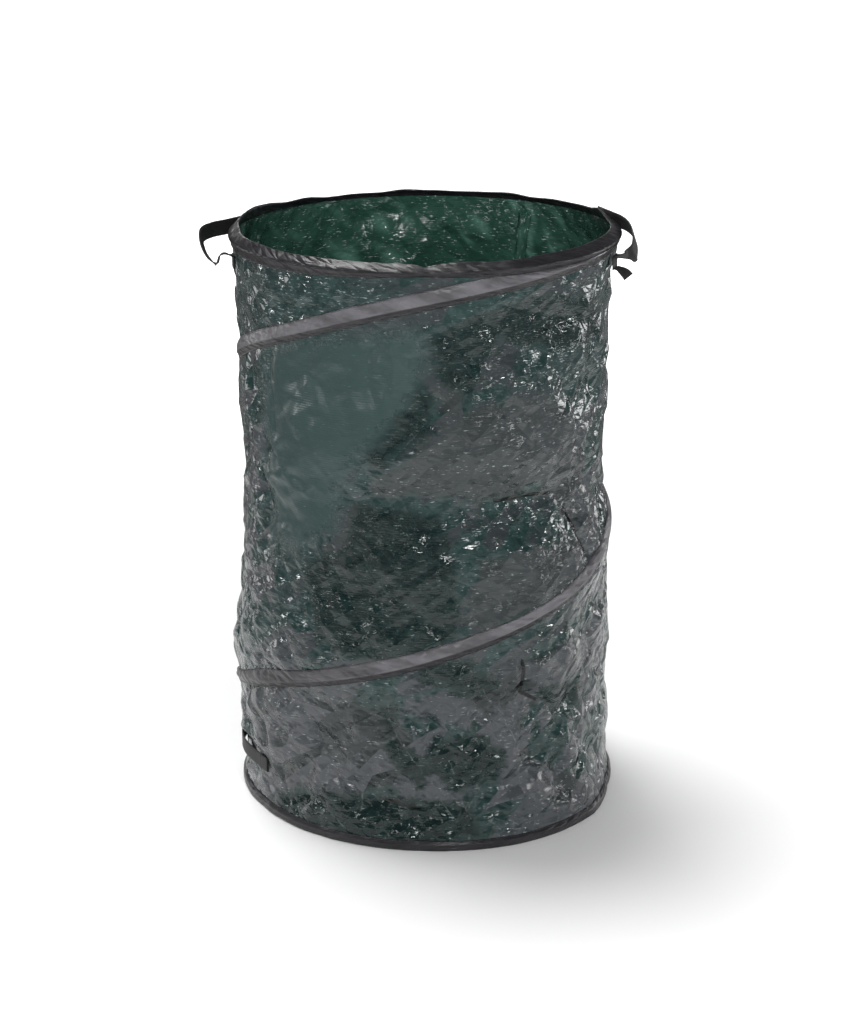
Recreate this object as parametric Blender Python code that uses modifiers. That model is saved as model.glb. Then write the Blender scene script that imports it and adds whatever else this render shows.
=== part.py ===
"""A pop up leaf bag: a woven polyethylene tube held open by one coil of spring steel wire.

The wire makes a hoop at the rim, two turns of spiral and a hoop at the base. Grey tape covers each stretch of it.
Metres, +Z up. The origin is on the bag's axis, on the floor. Angles are in degrees from +X, and run round the
front, which faces -Y, so 90 is the front, 180 the left side and 270 the back.
"""

import math

import bmesh
import bpy
import numpy as np
from mathutils import Vector

# The bag as a whole
HOOP_RADIUS = 0.248
BAG_HEIGHT = 0.755
STATIONS = 48
GAP = 0.0003

# Spring steel wire and the crimped sleeves that close its two hoops
WIRE_DIAMETER = 0.003
WIRE_LAP_GAP = 0.0005
FERRULE_WALL = 0.0005
FERRULE_LENGTH = 0.022
LAP_TURN_SHARE = 1 / 8
FIRST_DROP_SHARES = (0, 0.013, 0.055, 0.132, 0.218, 0.285, 0.356, 0.421, 0.495)
SECOND_DROP_SHARES = (0.589, 0.662, 0.735, 0.809, 0.876, 0.927, 0.971, 1)

# Woven fabric
FABRIC = 0.0007
DRAW_IN_SHARE = 0.03
WALL_ROWS = 12
WALL_END_BAND = 0.018
SEAM_ANGLE = 303.75
SEAM_WIDTH_SHARE = 0.6

# Binding tape
TAPE = 0.0006
POCKET_SLACK = 0.0015
POCKET_SLOPE = 0.003
RIM_HEM = 0.003
RIM_LEAN = 0.006
RIM_LIP_COVER = 0.005
BASE_LIP_COVER = 0.0053
BASE_TAPE_REACH = 0.011
SPIRAL_TAPE_WIDTH = 0.025

# Webbing, which the handles are cut from
WEBBING_WIDTH = 0.020
WEBBING = 0.0016
SEWN_LENGTH = 0.018
STRAP_STEPS = 3

# Left rim handle: its front end hangs upright below the rim tape, its rear end lies level along it. The drops are
# how far the front end starts below the tape's lip, and the rear end's middle below the hoop.
# Each row is the share of the way from front to rear, of the reach outwards, of the reach upwards, of the quarter
# turn that brings the webbing's width upright, and of the quarter turn that tips its upper edge outwards.
LEFT_FRONT_ANGLE = 168.75
LEFT_FRONT_DROP = 0.0105
LEFT_REAR_ANGLE = 203.0
LEFT_REAR_DROP = 0.0045
LEFT_REACH = 0.0375
LEFT_LOOP_SHARES = (
    (0.00, 0.00, 0.00, 0.00, 0.00),
    (0.00, 0.10, 0.03, 0.10, 0.00),
    (0.00, 0.28, 0.09, 0.20, 0.00),
    (0.00, 0.42, 0.02, 0.22, 0.00),
    (-0.01, 0.49, -0.16, 0.20, 0.00),
    (-0.02, 0.57, -0.23, 0.20, 0.05),
    (0.00, 0.75, -0.10, 0.22, 0.20),
    (0.06, 0.91, 0.16, 0.35, 0.22),
    (0.15, 0.97, 0.40, 0.62, 0.20),
    (0.28, 0.94, 0.53, 0.90, 0.08),
    (0.50, 0.70, 0.50, 1.00, 0.00),
    (0.70, 0.35, 0.455, 1.00, 0.00),
    (0.90, 0.10, 0.437, 1.00, 0.00),
)

# Right rim handle, sewn over the start of the spiral tape, and the free end of its webbing
RIGHT_FRONT_ANGLE = 19.5
RIGHT_FRONT_DROP = 0.005
RIGHT_REAR_ANGLE = -23.0
RIGHT_REAR_DROP = 0
RIGHT_REACH = 0.020
RIGHT_LOOP_SHARES = (
    (0.00, 0.00, 0.00, 0.00, 0.00),
    (0.00, 0.12, 0.00, 0.00, 0.00),
    (0.00, 0.42, 0.04, 0.05, 0.00),
    (0.01, 0.72, 0.05, 0.15, -0.05),
    (0.05, 0.90, 0.02, 0.40, -0.15),
    (0.13, 0.92, 0.20, 0.80, -0.20),
    (0.32, 0.74, 0.52, 0.90, -0.20),
    (0.50, 0.52, 0.78, 0.90, -0.20),
    (0.66, 0.28, 0.87, 0.90, -0.18),
    (0.82, 0.06, 0.82, 0.95, -0.10),
    (0.92, 0.00, 0.77, 1.00, 0.00),
)
TAIL_LENGTH = 0.024
TAIL_SHARES = (
    (0.00, 0.00, 0.00, 0.00, 0.00),
    (0.00, 0.14, -0.04, 0.00, 0.00),
    (0.00, 0.36, -0.16, 0.15, 0.00),
    (0.00, 0.54, -0.30, 0.28, 0.00),
    (0.00, 0.68, -0.46, 0.35, 0.00),
)

# Lower grab handle, level and close to the wall
LOWER_FRONT_ANGLE = 151.0
LOWER_REAR_ANGLE = 185.0
LOWER_HEIGHT = 0.0595
LOWER_REACH = 0.006
LOWER_LOOP_SHARES = (
    (0.00, 0.00, 0.00, 1.00, 0.00),
    (0.08, 0.03, 0.00, 1.00, 0.00),
    (0.22, 0.45, 0.08, 1.00, 0.00),
    (0.38, 0.90, 0.20, 1.00, 0.00),
    (0.52, 1.00, 0.28, 1.00, 0.00),
    (0.66, 0.90, 0.20, 1.00, 0.00),
    (0.80, 0.45, 0.08, 1.00, 0.00),
    (0.92, 0.03, 0.00, 1.00, 0.00),
    (1.00, 0.00, 0.00, 1.00, 0.00),
)

# Finishes: colour, roughness, metallic
FABRIC_FINISH = ((0.035, 0.085, 0.065, 1.0), 0.35, 0.0)
TAPE_FINISH = ((0.105, 0.090, 0.100, 1.0), 0.45, 0.0)
WEBBING_FINISH = ((0.012, 0.012, 0.013, 1.0), 0.8, 0.0)
WIRE_FINISH = ((0.45, 0.45, 0.46, 1.0), 0.35, 1.0)
SLEEVE_FINISH = ((0.62, 0.62, 0.62, 1.0), 0.45, 1.0)

# Radii and heights that follow from these
WIRE_RADIUS = WIRE_DIAMETER / 2
LAP_PITCH = WIRE_DIAMETER + WIRE_LAP_GAP
WALL_RADIUS = HOOP_RADIUS - WIRE_RADIUS - GAP
FLANGE_RADIUS = WALL_RADIUS + GAP
POCKET_RISE = WIRE_DIAMETER + GAP
POCKET_HALF = WIRE_RADIUS + POCKET_SLACK
FERRULE_ROOM = FERRULE_WALL + GAP
BASE_SEAT = TAPE + GAP
WALL_TOP = BAG_HEIGHT - TAPE - GAP
TOP_WIRE = WALL_TOP - RIM_HEM - POCKET_SLOPE - POCKET_HALF
RIM_SHOULDER = TOP_WIRE + POCKET_HALF
BASE_WIRE = BASE_SEAT + FERRULE_WALL + GAP + WIRE_RADIUS
RIM_LIP = TOP_WIRE - LAP_PITCH - RIM_LIP_COVER
BASE_LIP = BASE_WIRE + LAP_PITCH + BASE_LIP_COVER
BINDING_OUTER = HOOP_RADIUS + WIRE_RADIUS + GAP + TAPE
STATION_ANGLE = 360 / STATIONS
RIM_CLOSING = STATION_ANGLE / 2
BASE_CLOSING = 360 - STATION_ANGLE / 2
SMOOTH_ANGLE = 50
MERGE = 0.0001


def clear_scene():
    for item in list(bpy.data.objects):
        bpy.data.objects.remove(item, do_unlink=True)


def new_collection(name):
    collection = bpy.data.collections.new(name)
    bpy.context.scene.collection.children.link(collection)
    return collection


def material(name, finish):
    colour, roughness, metallic = finish
    made = bpy.data.materials.new(name)
    made.use_nodes = True
    shader = made.node_tree.nodes["Principled BSDF"]
    shader.inputs["Base Color"].default_value = colour
    shader.inputs["Roughness"].default_value = roughness
    shader.inputs["Metallic"].default_value = metallic
    made.diffuse_color = colour
    return made


def at(angle, radius, height):
    """The point at an angle round the bag, a distance from its axis and a height."""
    turned = math.radians(angle)
    return Vector((radius * math.cos(turned), -radius * math.sin(turned), height))


def smooth_step(share):
    share = min(max(share, 0), 1)
    return share * share * (3 - 2 * share)


def smooth_between(values, share):
    """A smooth curve through evenly spaced values, level at both ends, read at a share of its length."""
    place = min(max(share, 0), 1) * (len(values) - 1)
    i = min(int(place), len(values) - 2)
    t = place - i
    start, end = values[i], values[i + 1]
    leave = (end - values[i - 1]) / 2 if i else 0
    arrive = (values[i + 2] - start) / 2 if i + 2 < len(values) else 0
    cubic = (2 * t**3 - 3 * t**2 + 1, t**3 - 2 * t**2 + t, 3 * t**2 - 2 * t**3, t**3 - t**2)
    return start * cubic[0] + leave * cubic[1] + end * cubic[2] + arrive * cubic[3]


def wire_height(turn):
    """Height of the wire: the rim hoop is turn -1 to 0, the spiral 0 to 2 and the base hoop 2 to 3."""
    if turn <= 0:
        return TOP_WIRE - LAP_PITCH * smooth_step(turn / LAP_TURN_SHARE + 1)
    if turn >= 2:
        return BASE_WIRE + LAP_PITCH * (1 - smooth_step((turn - 2) / LAP_TURN_SHARE))
    start, end = TOP_WIRE - LAP_PITCH, BASE_WIRE + LAP_PITCH
    lead = 1 / STATIONS
    return start - (start - end) * smooth_between(FIRST_DROP_SHARES + SECOND_DROP_SHARES, (turn - lead) / (2 - 2 * lead))


def wire_passes(angle):
    """The heights at which the wire passes an angle, from the rim down."""
    turn = (angle % 360) / 360
    return [wire_height(turn + k) for k in (-1, 0, 1, 2, 3) if turn + k <= 3]


def draw_in(angle, height):
    """How far the slack fabric pulls in between two passes of the wire."""
    passes = wire_passes(angle)
    for upper, lower in zip(passes, passes[1:]):
        if lower < height < upper:
            share = (upper - height) / (upper - lower)
            return DRAW_IN_SHARE * (upper - lower) * math.sin(math.pi * share) ** 2
    return 0


def beside(angle, closing):
    """Whether an angle is one of the two stations on either side of a closing."""
    return abs((angle - closing + 180) % 360 - 180) < STATION_ANGLE


def ferrule_room(angle, height):
    """Extra room on both sides of the wire where a crimped sleeve closes a hoop."""
    rim = beside(angle, RIM_CLOSING) and height > TOP_WIRE - WALL_END_BAND
    base = beside(angle, BASE_CLOSING) and height < WALL_END_BAND
    return FERRULE_ROOM if rim or base else 0


def rim_lean(height):
    """How far the soft hem above the rim hoop leans in."""
    return RIM_LEAN * max(height - RIM_SHOULDER, 0) / (WALL_TOP - RIM_SHOULDER)


def wall_heights():
    """Heights of the rows that the wall is lofted through, from its lower edge to its upper one."""
    low, high = WALL_END_BAND, TOP_WIRE - WALL_END_BAND
    rows = [low + (high - low) * i / (WALL_ROWS - 1) for i in range(WALL_ROWS)]
    return [BASE_SEAT, *rows, RIM_SHOULDER, WALL_TOP]


def wall_radius(angle, height):
    """Outer radius of the wall, straight from row to row."""
    rows = wall_heights()
    i = max(j for j in range(len(rows) - 1) if rows[j] <= max(height, rows[0]))
    ends = [
        WALL_RADIUS - draw_in(angle, z) - ferrule_room(angle, z) - rim_lean(z)
        for z in (rows[i], rows[i + 1])
    ]
    share = (height - rows[i]) / (rows[i + 1] - rows[i])
    return ends[0] + (ends[1] - ends[0]) * min(max(share, 0), 1)


def tape_radius(angle, height):
    """Inner radius of a tape on the outside of the wall: flat on the fabric, and out over each wire."""
    rise = 0
    for wire in wire_passes(angle):
        beyond = abs(max(height, BASE_WIRE) - wire) - POCKET_HALF
        rise = max(rise, min(max(1 - beyond / POCKET_SLOPE, 0), 1))
    return FLANGE_RADIUS + rise * (POCKET_RISE + ferrule_room(angle, height)) - rim_lean(height)


def station_angles(start=0, count=STATIONS):
    return [(start + i) * STATION_ANGLE for i in range(count)]


def loft(name, sections, finish, closed=False):
    """A solid through a row of sections, each a ring of points. It closes on itself or is capped."""
    mesh = bpy.data.meshes.new(name)
    form = bmesh.new()
    rings = [[form.verts.new(p) for p in section] for section in sections]
    count = len(rings[0])
    pairs = list(zip(rings, rings[1:] + rings[:1] if closed else rings[1:]))
    for near, far in pairs:
        for i in range(count):
            j = (i + 1) % count
            form.faces.new((near[i], near[j], far[j], far[i]))
    if not closed:
        form.faces.new(rings[0][::-1])
        form.faces.new(rings[-1])
    bmesh.ops.recalc_face_normals(form, faces=form.faces)
    form.to_mesh(mesh)
    form.free()
    mesh.shade_smooth()
    mesh.set_sharp_from_angle(angle=math.radians(SMOOTH_ANGLE))
    mesh.materials.append(finish)
    made = bpy.data.objects.new(name, mesh)
    bag.objects.link(made)
    return made


def ring_section(angle, outline):
    """A section's (radius, height) points, set upright at an angle round the bag."""
    return [at(angle, radius, height) for radius, height in outline]


def make_wall():
    """The fabric tube, drawn in between the wires."""
    sections = []
    for angle in station_angles():
        outer = [(wall_radius(angle, z), z) for z in wall_heights()]
        inner = [(radius - FABRIC, z) for radius, z in outer[::-1]]
        sections.append(ring_section(angle, outer + inner))
    return loft("wall_panel", sections, material("woven_fabric", FABRIC_FINISH), closed=True)


def make_side_seam():
    """The tape inside the tube where the fabric is sewn into a round."""
    k = int(SEAM_ANGLE / STATION_ANGLE)
    left, right = k * STATION_ANGLE, (k + 1) * STATION_ANGLE
    inward = -at(SEAM_ANGLE, 1, 0)
    sections = []
    for z in wall_heights()[1:-2]:
        ends = [at(a, wall_radius(a, z) - FABRIC, z) for a in (left, right)]
        margin = (1 - SEAM_WIDTH_SHARE) / 2
        edges = [ends[0].lerp(ends[1], margin), ends[0].lerp(ends[1], 1 - margin)]
        near = [p + inward * GAP for p in edges]
        far = [p + inward * (GAP + TAPE) for p in edges[::-1]]
        sections.append(near + far)
    return loft("side_seam_tape", sections, material("seam_tape", TAPE_FINISH))


def make_base_panel():
    """The round floor of the bag: flat on the ground, its edge stepped up on to the base tape."""
    edge = WALL_RADIUS - FABRIC - GAP - FERRULE_ROOM
    step = HOOP_RADIUS - BASE_TAPE_REACH - GAP
    flat = step - BASE_SEAT
    outline = [
        (0, FABRIC),
        (flat, FABRIC),
        (step, BASE_SEAT + FABRIC),
        (edge, BASE_SEAT + FABRIC),
        (edge, BASE_SEAT),
        (step, BASE_SEAT),
        (flat, 0),
        (0, 0),
    ]
    mesh = bpy.data.meshes.new("base_panel")
    edges = [(i, i + 1) for i in range(len(outline) - 1)]
    mesh.from_pydata([(r, 0, z) for r, z in outline], edges, [])
    panel = bpy.data.objects.new("base_panel", mesh)
    bag.objects.link(panel)
    turned = panel.modifiers.new("turned", "SCREW")
    turned.axis = "Z"
    turned.steps = turned.render_steps = STATIONS
    turned.use_merge_vertices = True
    turned.merge_threshold = MERGE
    mesh.materials.append(material("base_fabric", FABRIC_FINISH))
    return panel


def make_coil():
    """One unbroken wire from the rim hoop's start to the base hoop's end."""
    count = 4 * STATIONS
    turns = [-1 + 4 * i / count for i in range(count + 1)]
    points = [at(360 * turn, HOOP_RADIUS, wire_height(turn)) for turn in turns]
    curve = bpy.data.curves.new("spring_coil", "CURVE")
    curve.dimensions = "3D"
    curve.bevel_depth = WIRE_RADIUS
    curve.bevel_resolution = 1
    curve.use_fill_caps = True
    line = curve.splines.new("POLY")
    line.points.add(len(points) - 1)
    for target, point in zip(line.points, points):
        target.co = (*point, 1)
    curve.materials.append(material("spring_steel", WIRE_FINISH))
    coil = bpy.data.objects.new("spring_coil", curve)
    bag.objects.link(coil)
    print("spring_coil: least gap to itself %.2f mm" % (1000 * least_gap(points)))
    return coil


def least_gap(points):
    """The least distance between two laps of the wire, surface to surface."""
    places = np.array([tuple(p) for p in points])
    apart = STATIONS // 2
    least = min(
        float(np.linalg.norm(places[i + apart :] - places[i], axis=1).min())
        for i in range(len(places) - apart)
    )
    return least - WIRE_DIAMETER


def sleeve_outline(half_height, radius, arc_steps=5):
    """A rounded slot: two half circles whose centres lie half_height above and below the middle."""
    outline = []
    for side in (1, -1):
        for i in range(arc_steps + 1):
            turned = math.pi * (i / arc_steps) if side == 1 else math.pi * (1 + i / arc_steps)
            outline.append((radius * math.cos(turned), side * half_height + radius * math.sin(turned)))
    return outline


def make_ferrule(name, closing_angle, lower_wire):
    """A crimped sleeve round the two laps of wire where a hoop closes."""
    half = FERRULE_LENGTH / 2
    radius = HOOP_RADIUS * math.cos(math.radians(STATION_ANGLE / 2))
    out, along = at(closing_angle, 1, 0), at(closing_angle + 90, 1, 0)
    centre = at(closing_angle, radius, lower_wire + LAP_PITCH / 2)
    inner = sleeve_outline(LAP_PITCH / 2, WIRE_RADIUS + GAP)
    outer = sleeve_outline(LAP_PITCH / 2, WIRE_RADIUS + GAP + FERRULE_WALL)
    up = Vector((0, 0, 1))
    sections = []
    for outline, end in ((outer, -half), (outer, half), (inner, half), (inner, -half)):
        sections.append([centre + out * x + up * z + along * end for x, z in outline])
    return loft(name, sections, material(name + "_metal", SLEEVE_FINISH), closed=True)


def make_rim_binding():
    """Tape folded over the wall's upper edge, with the rim hoop between its outer leg and the wall."""
    fold = WALL_TOP + GAP
    pocket = (TOP_WIRE - POCKET_HALF - LAP_PITCH, TOP_WIRE - POCKET_HALF, TOP_WIRE, RIM_SHOULDER)
    heights = (RIM_LIP, *pocket, RIM_SHOULDER + POCKET_SLOPE, fold)
    sections = []
    for angle in station_angles():
        leg = [(tape_radius(angle, z), z) for z in heights]
        lining = [(wall_radius(angle, z) - FABRIC - GAP, z) for z in (RIM_LIP, RIM_SHOULDER, fold)]
        outside = [(radius + TAPE, z) for radius, z in leg[:-1]] + [(leg[-1][0] + TAPE, fold + TAPE)]
        inside = [(lining[-1][0] - TAPE, fold + TAPE)] + [(radius - TAPE, z) for radius, z in lining[-2::-1]]
        sections.append(ring_section(angle, outside + inside + lining + leg[::-1]))
    return loft("rim_binding", sections, material("rim_tape", TAPE_FINISH), closed=True)


def make_base_binding():
    """Tape round the base hoop, its lower leg under the edge of the floor."""
    pocket_top = BASE_WIRE + LAP_PITCH + POCKET_HALF
    heights = (BASE_LIP, pocket_top, BASE_WIRE + POCKET_HALF, TAPE)
    toe = HOOP_RADIUS - BASE_TAPE_REACH
    sections = []
    for angle in station_angles():
        leg = [(tape_radius(angle, z), z) for z in heights]
        outside = [(radius + TAPE, z) for radius, z in leg[:-1]] + [(leg[-1][0] + TAPE, 0)]
        sections.append(ring_section(angle, leg[::-1] + outside + [(toe, 0), (toe, TAPE)]))
    return loft("base_binding", sections, material("base_tape", TAPE_FINISH), closed=True)


def spiral_heights(turn):
    """Heights across the spiral tape at a turn, kept clear of the rim and base tapes."""
    edge, foot = SPIRAL_TAPE_WIDTH / 2, POCKET_HALF + POCKET_SLOPE
    wire = wire_height(turn)
    wished = [wire + offset for offset in (-edge, -foot, -POCKET_HALF, 0, POCKET_HALF, foot, edge)]
    last = len(wished) - 1
    floors = [BASE_LIP + GAP + TAPE * i for i in range(last + 1)]
    ceilings = [RIM_LIP - GAP - TAPE * (last - i) for i in range(last + 1)]
    return [min(max(z, low), high) for z, low, high in zip(wished, floors, ceilings)]


def make_spiral_binding():
    """Tape sewn over the spiral, from under the rim tape down to the base tape."""
    sections = []
    for station in range(1, 2 * STATIONS):
        angle = station * STATION_ANGLE
        leg = [(tape_radius(angle, z), z) for z in spiral_heights(station / STATIONS)]
        outside = [(radius + TAPE, z) for radius, z in leg[::-1]]
        sections.append(ring_section(angle, leg + outside))
    return loft("spiral_binding", sections, material("spiral_tape", TAPE_FINISH))


def strap_points(front, rear, radius, height, reach, shares):
    """A strap's route: (point, outward, turn, tip) at each of its rows of shares."""
    rows = []
    for along, out, up, turned, tipped in shares:
        angle = front + (rear - front) * along
        rows.append((at(angle, radius + reach * out, height + reach * up), at(angle, 1, 0), turned, tipped))
    return rows


def smooth_rows(rows, steps):
    """More rows between the given ones, on a smooth curve through them."""
    values = [np.array([*point, *outward, *swings]) for point, outward, *swings in rows]
    made = []
    for i in range(len(values) - 1):
        before, a = values[max(i - 1, 0)], values[i]
        b, after = values[i + 1], values[min(i + 2, len(values) - 1)]
        for k in range(steps):
            t = k / steps
            leave, arrive = (b - before) / 2, (after - a) / 2
            made.append(
                a * (2 * t**3 - 3 * t**2 + 1)
                + leave * (t**3 - 2 * t**2 + t)
                + b * (3 * t**2 - 2 * t**3)
                + arrive * (t**3 - t**2)
            )
    made.append(values[-1])
    return [(Vector(v[:3]), Vector(v[3:6]).normalized(), v[6], v[7]) for v in made]


def strap(name, rows, steps=STRAP_STEPS):
    """Webbing along a route. Its width runs round the bag at turn 0, upright at turn 1 and outwards at tip 1."""
    rows = smooth_rows(rows, steps)
    sections = []
    for i, (point, outward, turned, tipped) in enumerate(rows):
        ahead = rows[min(i + 1, len(rows) - 1)][0] - rows[max(i - 1, 0)][0]
        ahead.normalize()
        around = Vector((0, 0, 1)).cross(outward)
        swing, tip = math.radians(90) * turned, math.radians(90) * tipped
        across = around * math.cos(swing) + Vector((0, 0, 1)) * math.sin(swing)
        across = across * math.cos(tip) + outward * math.sin(tip)
        across = (across - ahead * across.dot(ahead)).normalized()
        through = ahead.cross(across)
        side, half = across * WEBBING_WIDTH / 2, through * WEBBING / 2
        sections.append([point + side + half, point - side + half, point - side - half, point + side - half])
    return loft(name, sections, material(name + "_webbing", WEBBING_FINISH))


def sewn_end(name, angle, radius, height, upright):
    """A webbing end sewn flat to the bag: upright below the rim tape, or level along it."""
    long, wide = (WEBBING_WIDTH, SEWN_LENGTH) if upright else (SEWN_LENGTH, WEBBING_WIDTH)
    centre = at(angle, radius + WEBBING / 2, height)
    bpy.ops.mesh.primitive_cube_add(size=1, location=centre, rotation=(0, 0, -math.radians(angle)))
    end = bpy.context.active_object
    end.scale = (WEBBING, long, wide)
    bpy.ops.object.transform_apply(location=False, rotation=False, scale=True)
    end.name = end.data.name = name
    end.data.materials.append(material(name + "_webbing", WEBBING_FINISH))
    for home in list(end.users_collection):
        home.objects.unlink(end)
    bag.objects.link(end)
    return end


def hang_on(pivot_name, place, pieces):
    """An empty on a joint's axis, with the pieces that turn about it."""
    pivot = bpy.data.objects.new(pivot_name, None)
    pivot.location = place
    pivot.empty_display_size = WEBBING_WIDTH
    bag.objects.link(pivot)
    bpy.context.view_layer.update()
    for piece in pieces:
        piece.parent = pivot
        piece.matrix_parent_inverse = pivot.matrix_world.inverted()
    return pivot


def level_edge(angle, radius, towards):
    """The angle just past a level sewn end, on its side towards another angle."""
    past = math.degrees((SEWN_LENGTH / 2 + GAP) / radius)
    return angle + math.copysign(past, towards - angle)


def make_rim_handle(side, front, rear, seat, reach, shares):
    """A rim handle: its loop, its front end below the rim tape and its rear end on it, at (angle, drop) each."""
    name = side + "_handle"
    angle, top, rear_height = front[0], RIM_LIP - GAP - front[1], TOP_WIRE - rear[1]
    front_end = sewn_end(name + "_front_end", angle, seat, top - SEWN_LENGTH / 2, upright=True)
    rear_end = sewn_end(name + "_rear_end", rear[0], BINDING_OUTER + GAP, rear_height, upright=False)
    rear_radius = BINDING_OUTER + GAP + WEBBING / 2
    edge = level_edge(rear[0], rear_radius, angle)
    rows = strap_points(angle, edge, seat + WEBBING + GAP, top - WEBBING, reach, shares)
    rows.append((at(edge, rear_radius, rear_height), at(edge, 1, 0), 1, 0))
    loop = strap(name, rows)
    hang_on(name + "_pivot", rows[0][0].lerp(rows[-1][0], 0.5), [loop])
    return [front_end, rear_end]


def make_tail():
    """The loose end of the right handle's webbing, past its stitching, with room to turn at its root."""
    root = BINDING_OUTER + GAP + WEBBING + WEBBING / 2
    height = RIM_LIP - GAP - RIGHT_FRONT_DROP - SEWN_LENGTH + WEBBING
    angle = RIGHT_FRONT_ANGLE
    rows = strap_points(angle, angle, root, height, TAIL_LENGTH, TAIL_SHARES)
    tail = strap("right_handle_tail", rows)
    hang_on("right_tail_pivot", rows[0][0], [tail])


def wall_seat(angles, height):
    """The radius at which webbing lies against the fullest of the wall at some angles."""
    edges = (height - WEBBING_WIDTH / 2, height, height + WEBBING_WIDTH / 2)
    return max(wall_radius(angle, z) for angle in angles for z in edges) + GAP


def make_lower_handle():
    """The grab handle low on the left, for tipping the bag out."""
    front, rear = LOWER_FRONT_ANGLE, LOWER_REAR_ANGLE
    seat = wall_seat((front, rear), LOWER_HEIGHT)
    for name, angle in (("front", front), ("rear", rear)):
        sewn_end("lower_handle_" + name + "_end", angle, seat, LOWER_HEIGHT, upright=False)
    start = seat + WEBBING / 2
    edges = level_edge(front, start, rear), level_edge(rear, start, front)
    rows = strap_points(*edges, start, LOWER_HEIGHT, LOWER_REACH, LOWER_LOOP_SHARES)
    loop = strap("lower_handle", rows)
    hang_on("lower_handle_pivot", rows[0][0].lerp(rows[-1][0], 0.5), [loop])


clear_scene()
bag = new_collection("pop_up_leaf_bag")
make_base_panel()
make_wall()
make_side_seam()
make_coil()
make_base_binding()
make_ferrule("base_ferrule", BASE_CLOSING, BASE_WIRE)
make_spiral_binding()
rim = [make_rim_binding(), make_ferrule("rim_ferrule", RIM_CLOSING, TOP_WIRE - LAP_PITCH)]
left_front, left_rear = (LEFT_FRONT_ANGLE, LEFT_FRONT_DROP), (LEFT_REAR_ANGLE, LEFT_REAR_DROP)
left_seat = wall_seat((LEFT_FRONT_ANGLE,), RIM_LIP - LEFT_FRONT_DROP - SEWN_LENGTH / 2)
rim += make_rim_handle("left", left_front, left_rear, left_seat, LEFT_REACH, LEFT_LOOP_SHARES)
right_front, right_rear = (RIGHT_FRONT_ANGLE, RIGHT_FRONT_DROP), (RIGHT_REAR_ANGLE, RIGHT_REAR_DROP)
rim += make_rim_handle("right", right_front, right_rear, BINDING_OUTER + GAP, RIGHT_REACH, RIGHT_LOOP_SHARES)
hang_on("rim_slide", (0, 0, TOP_WIRE), rim)
make_tail()
make_lower_handle()
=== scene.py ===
"""A pop up leaf bag: crumpled green fabric held open by one spring wire, under grey tape, with black handles.

Metres, +Z up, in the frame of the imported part. Angles are in degrees from +X and run round the front, so that 90
is the front, 180 the left side and 270 the back.
"""

import math

import bmesh
import bpy
import numpy as np
from mathutils import Matrix, Vector
from mathutils.bvhtree import BVHTree
from mathutils.geometry import delaunay_2d_cdt


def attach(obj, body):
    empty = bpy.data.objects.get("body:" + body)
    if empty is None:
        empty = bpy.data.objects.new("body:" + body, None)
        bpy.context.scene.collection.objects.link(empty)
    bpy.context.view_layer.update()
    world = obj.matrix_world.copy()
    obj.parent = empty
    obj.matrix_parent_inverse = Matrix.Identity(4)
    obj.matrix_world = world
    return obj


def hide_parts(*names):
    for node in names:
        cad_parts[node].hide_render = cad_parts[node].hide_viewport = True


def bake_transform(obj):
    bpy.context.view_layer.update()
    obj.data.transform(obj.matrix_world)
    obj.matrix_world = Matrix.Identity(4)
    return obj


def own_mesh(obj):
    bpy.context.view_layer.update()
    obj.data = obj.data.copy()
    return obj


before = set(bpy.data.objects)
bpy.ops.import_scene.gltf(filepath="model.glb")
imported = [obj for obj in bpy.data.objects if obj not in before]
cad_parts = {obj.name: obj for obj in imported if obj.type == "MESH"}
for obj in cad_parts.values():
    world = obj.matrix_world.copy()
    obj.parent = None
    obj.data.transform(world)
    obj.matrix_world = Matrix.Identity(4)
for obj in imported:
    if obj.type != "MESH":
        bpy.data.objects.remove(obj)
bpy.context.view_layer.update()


# The spring wire
# One 3 mm hardened wire makes the hoop at the rim, two turns of spiral and the hoop at the base. It lies inside the
# tape pockets, so that it follows the lean that the slack fabric lets it take.
HOOP_RADIUS = 0.248
TUBE_RADIUS = 0.2462
WIRE_THICK = 0.003
RIM_WIRE = 0.7451
BASE_WIRE = 0.0032
WIRE_LAP = 0.0035
LAP_TURN = 1 / 8
FALL = (0, 0.013, 0.055, 0.132, 0.218, 0.285, 0.356, 0.421, 0.495, 0.589, 0.662, 0.735, 0.809, 0.876, 0.927, 0.971, 1)
FALL_LEAD = 1 / 48
FABRIC_TO_WIRE = 0.0018
LEFT_SIDE = (
    (0.000, 0.2460), (0.025, 0.2445), (0.110, 0.2450), (0.130, 0.2505), (0.150, 0.2535), (0.190, 0.2470),
    (0.230, 0.2560), (0.330, 0.2400), (0.370, 0.2400), (0.430, 0.2325), (0.470, 0.2340), (0.510, 0.2400),
    (0.550, 0.2430), (0.600, 0.2390), (0.690, 0.2415), (0.710, 0.2465),
)
RIGHT_SIDE = (
    (0.000, 0.2460), (0.070, 0.2395), (0.090, 0.2430), (0.110, 0.2410), (0.130, 0.2305), (0.160, 0.2290),
    (0.210, 0.2440), (0.270, 0.2400), (0.310, 0.2465), (0.350, 0.2440), (0.390, 0.2375), (0.410, 0.2285),
    (0.445, 0.2235), (0.510, 0.2365), (0.550, 0.2375), (0.570, 0.2315), (0.610, 0.2345), (0.650, 0.2310),
    (0.690, 0.2380), (0.730, 0.2435),
)
BASE_SPREAD = ((0, 0), (15, 0), (25, 0.008), (35, 0.016), (50, 0.019), (65, 0.020), (80, 0.016), (90, 0.013),
               (110, 0.009), (130, 0.005), (150, 0), (360, 0))
SPREAD_HEIGHT = 0.11
TUBE_FOOT = 0.0009
TUBE_TOP = 0.7541
UPRIGHT_ABOVE = 0.700
UPRIGHT_OVER = 0.030
HEM_PULL = 0.75


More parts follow.
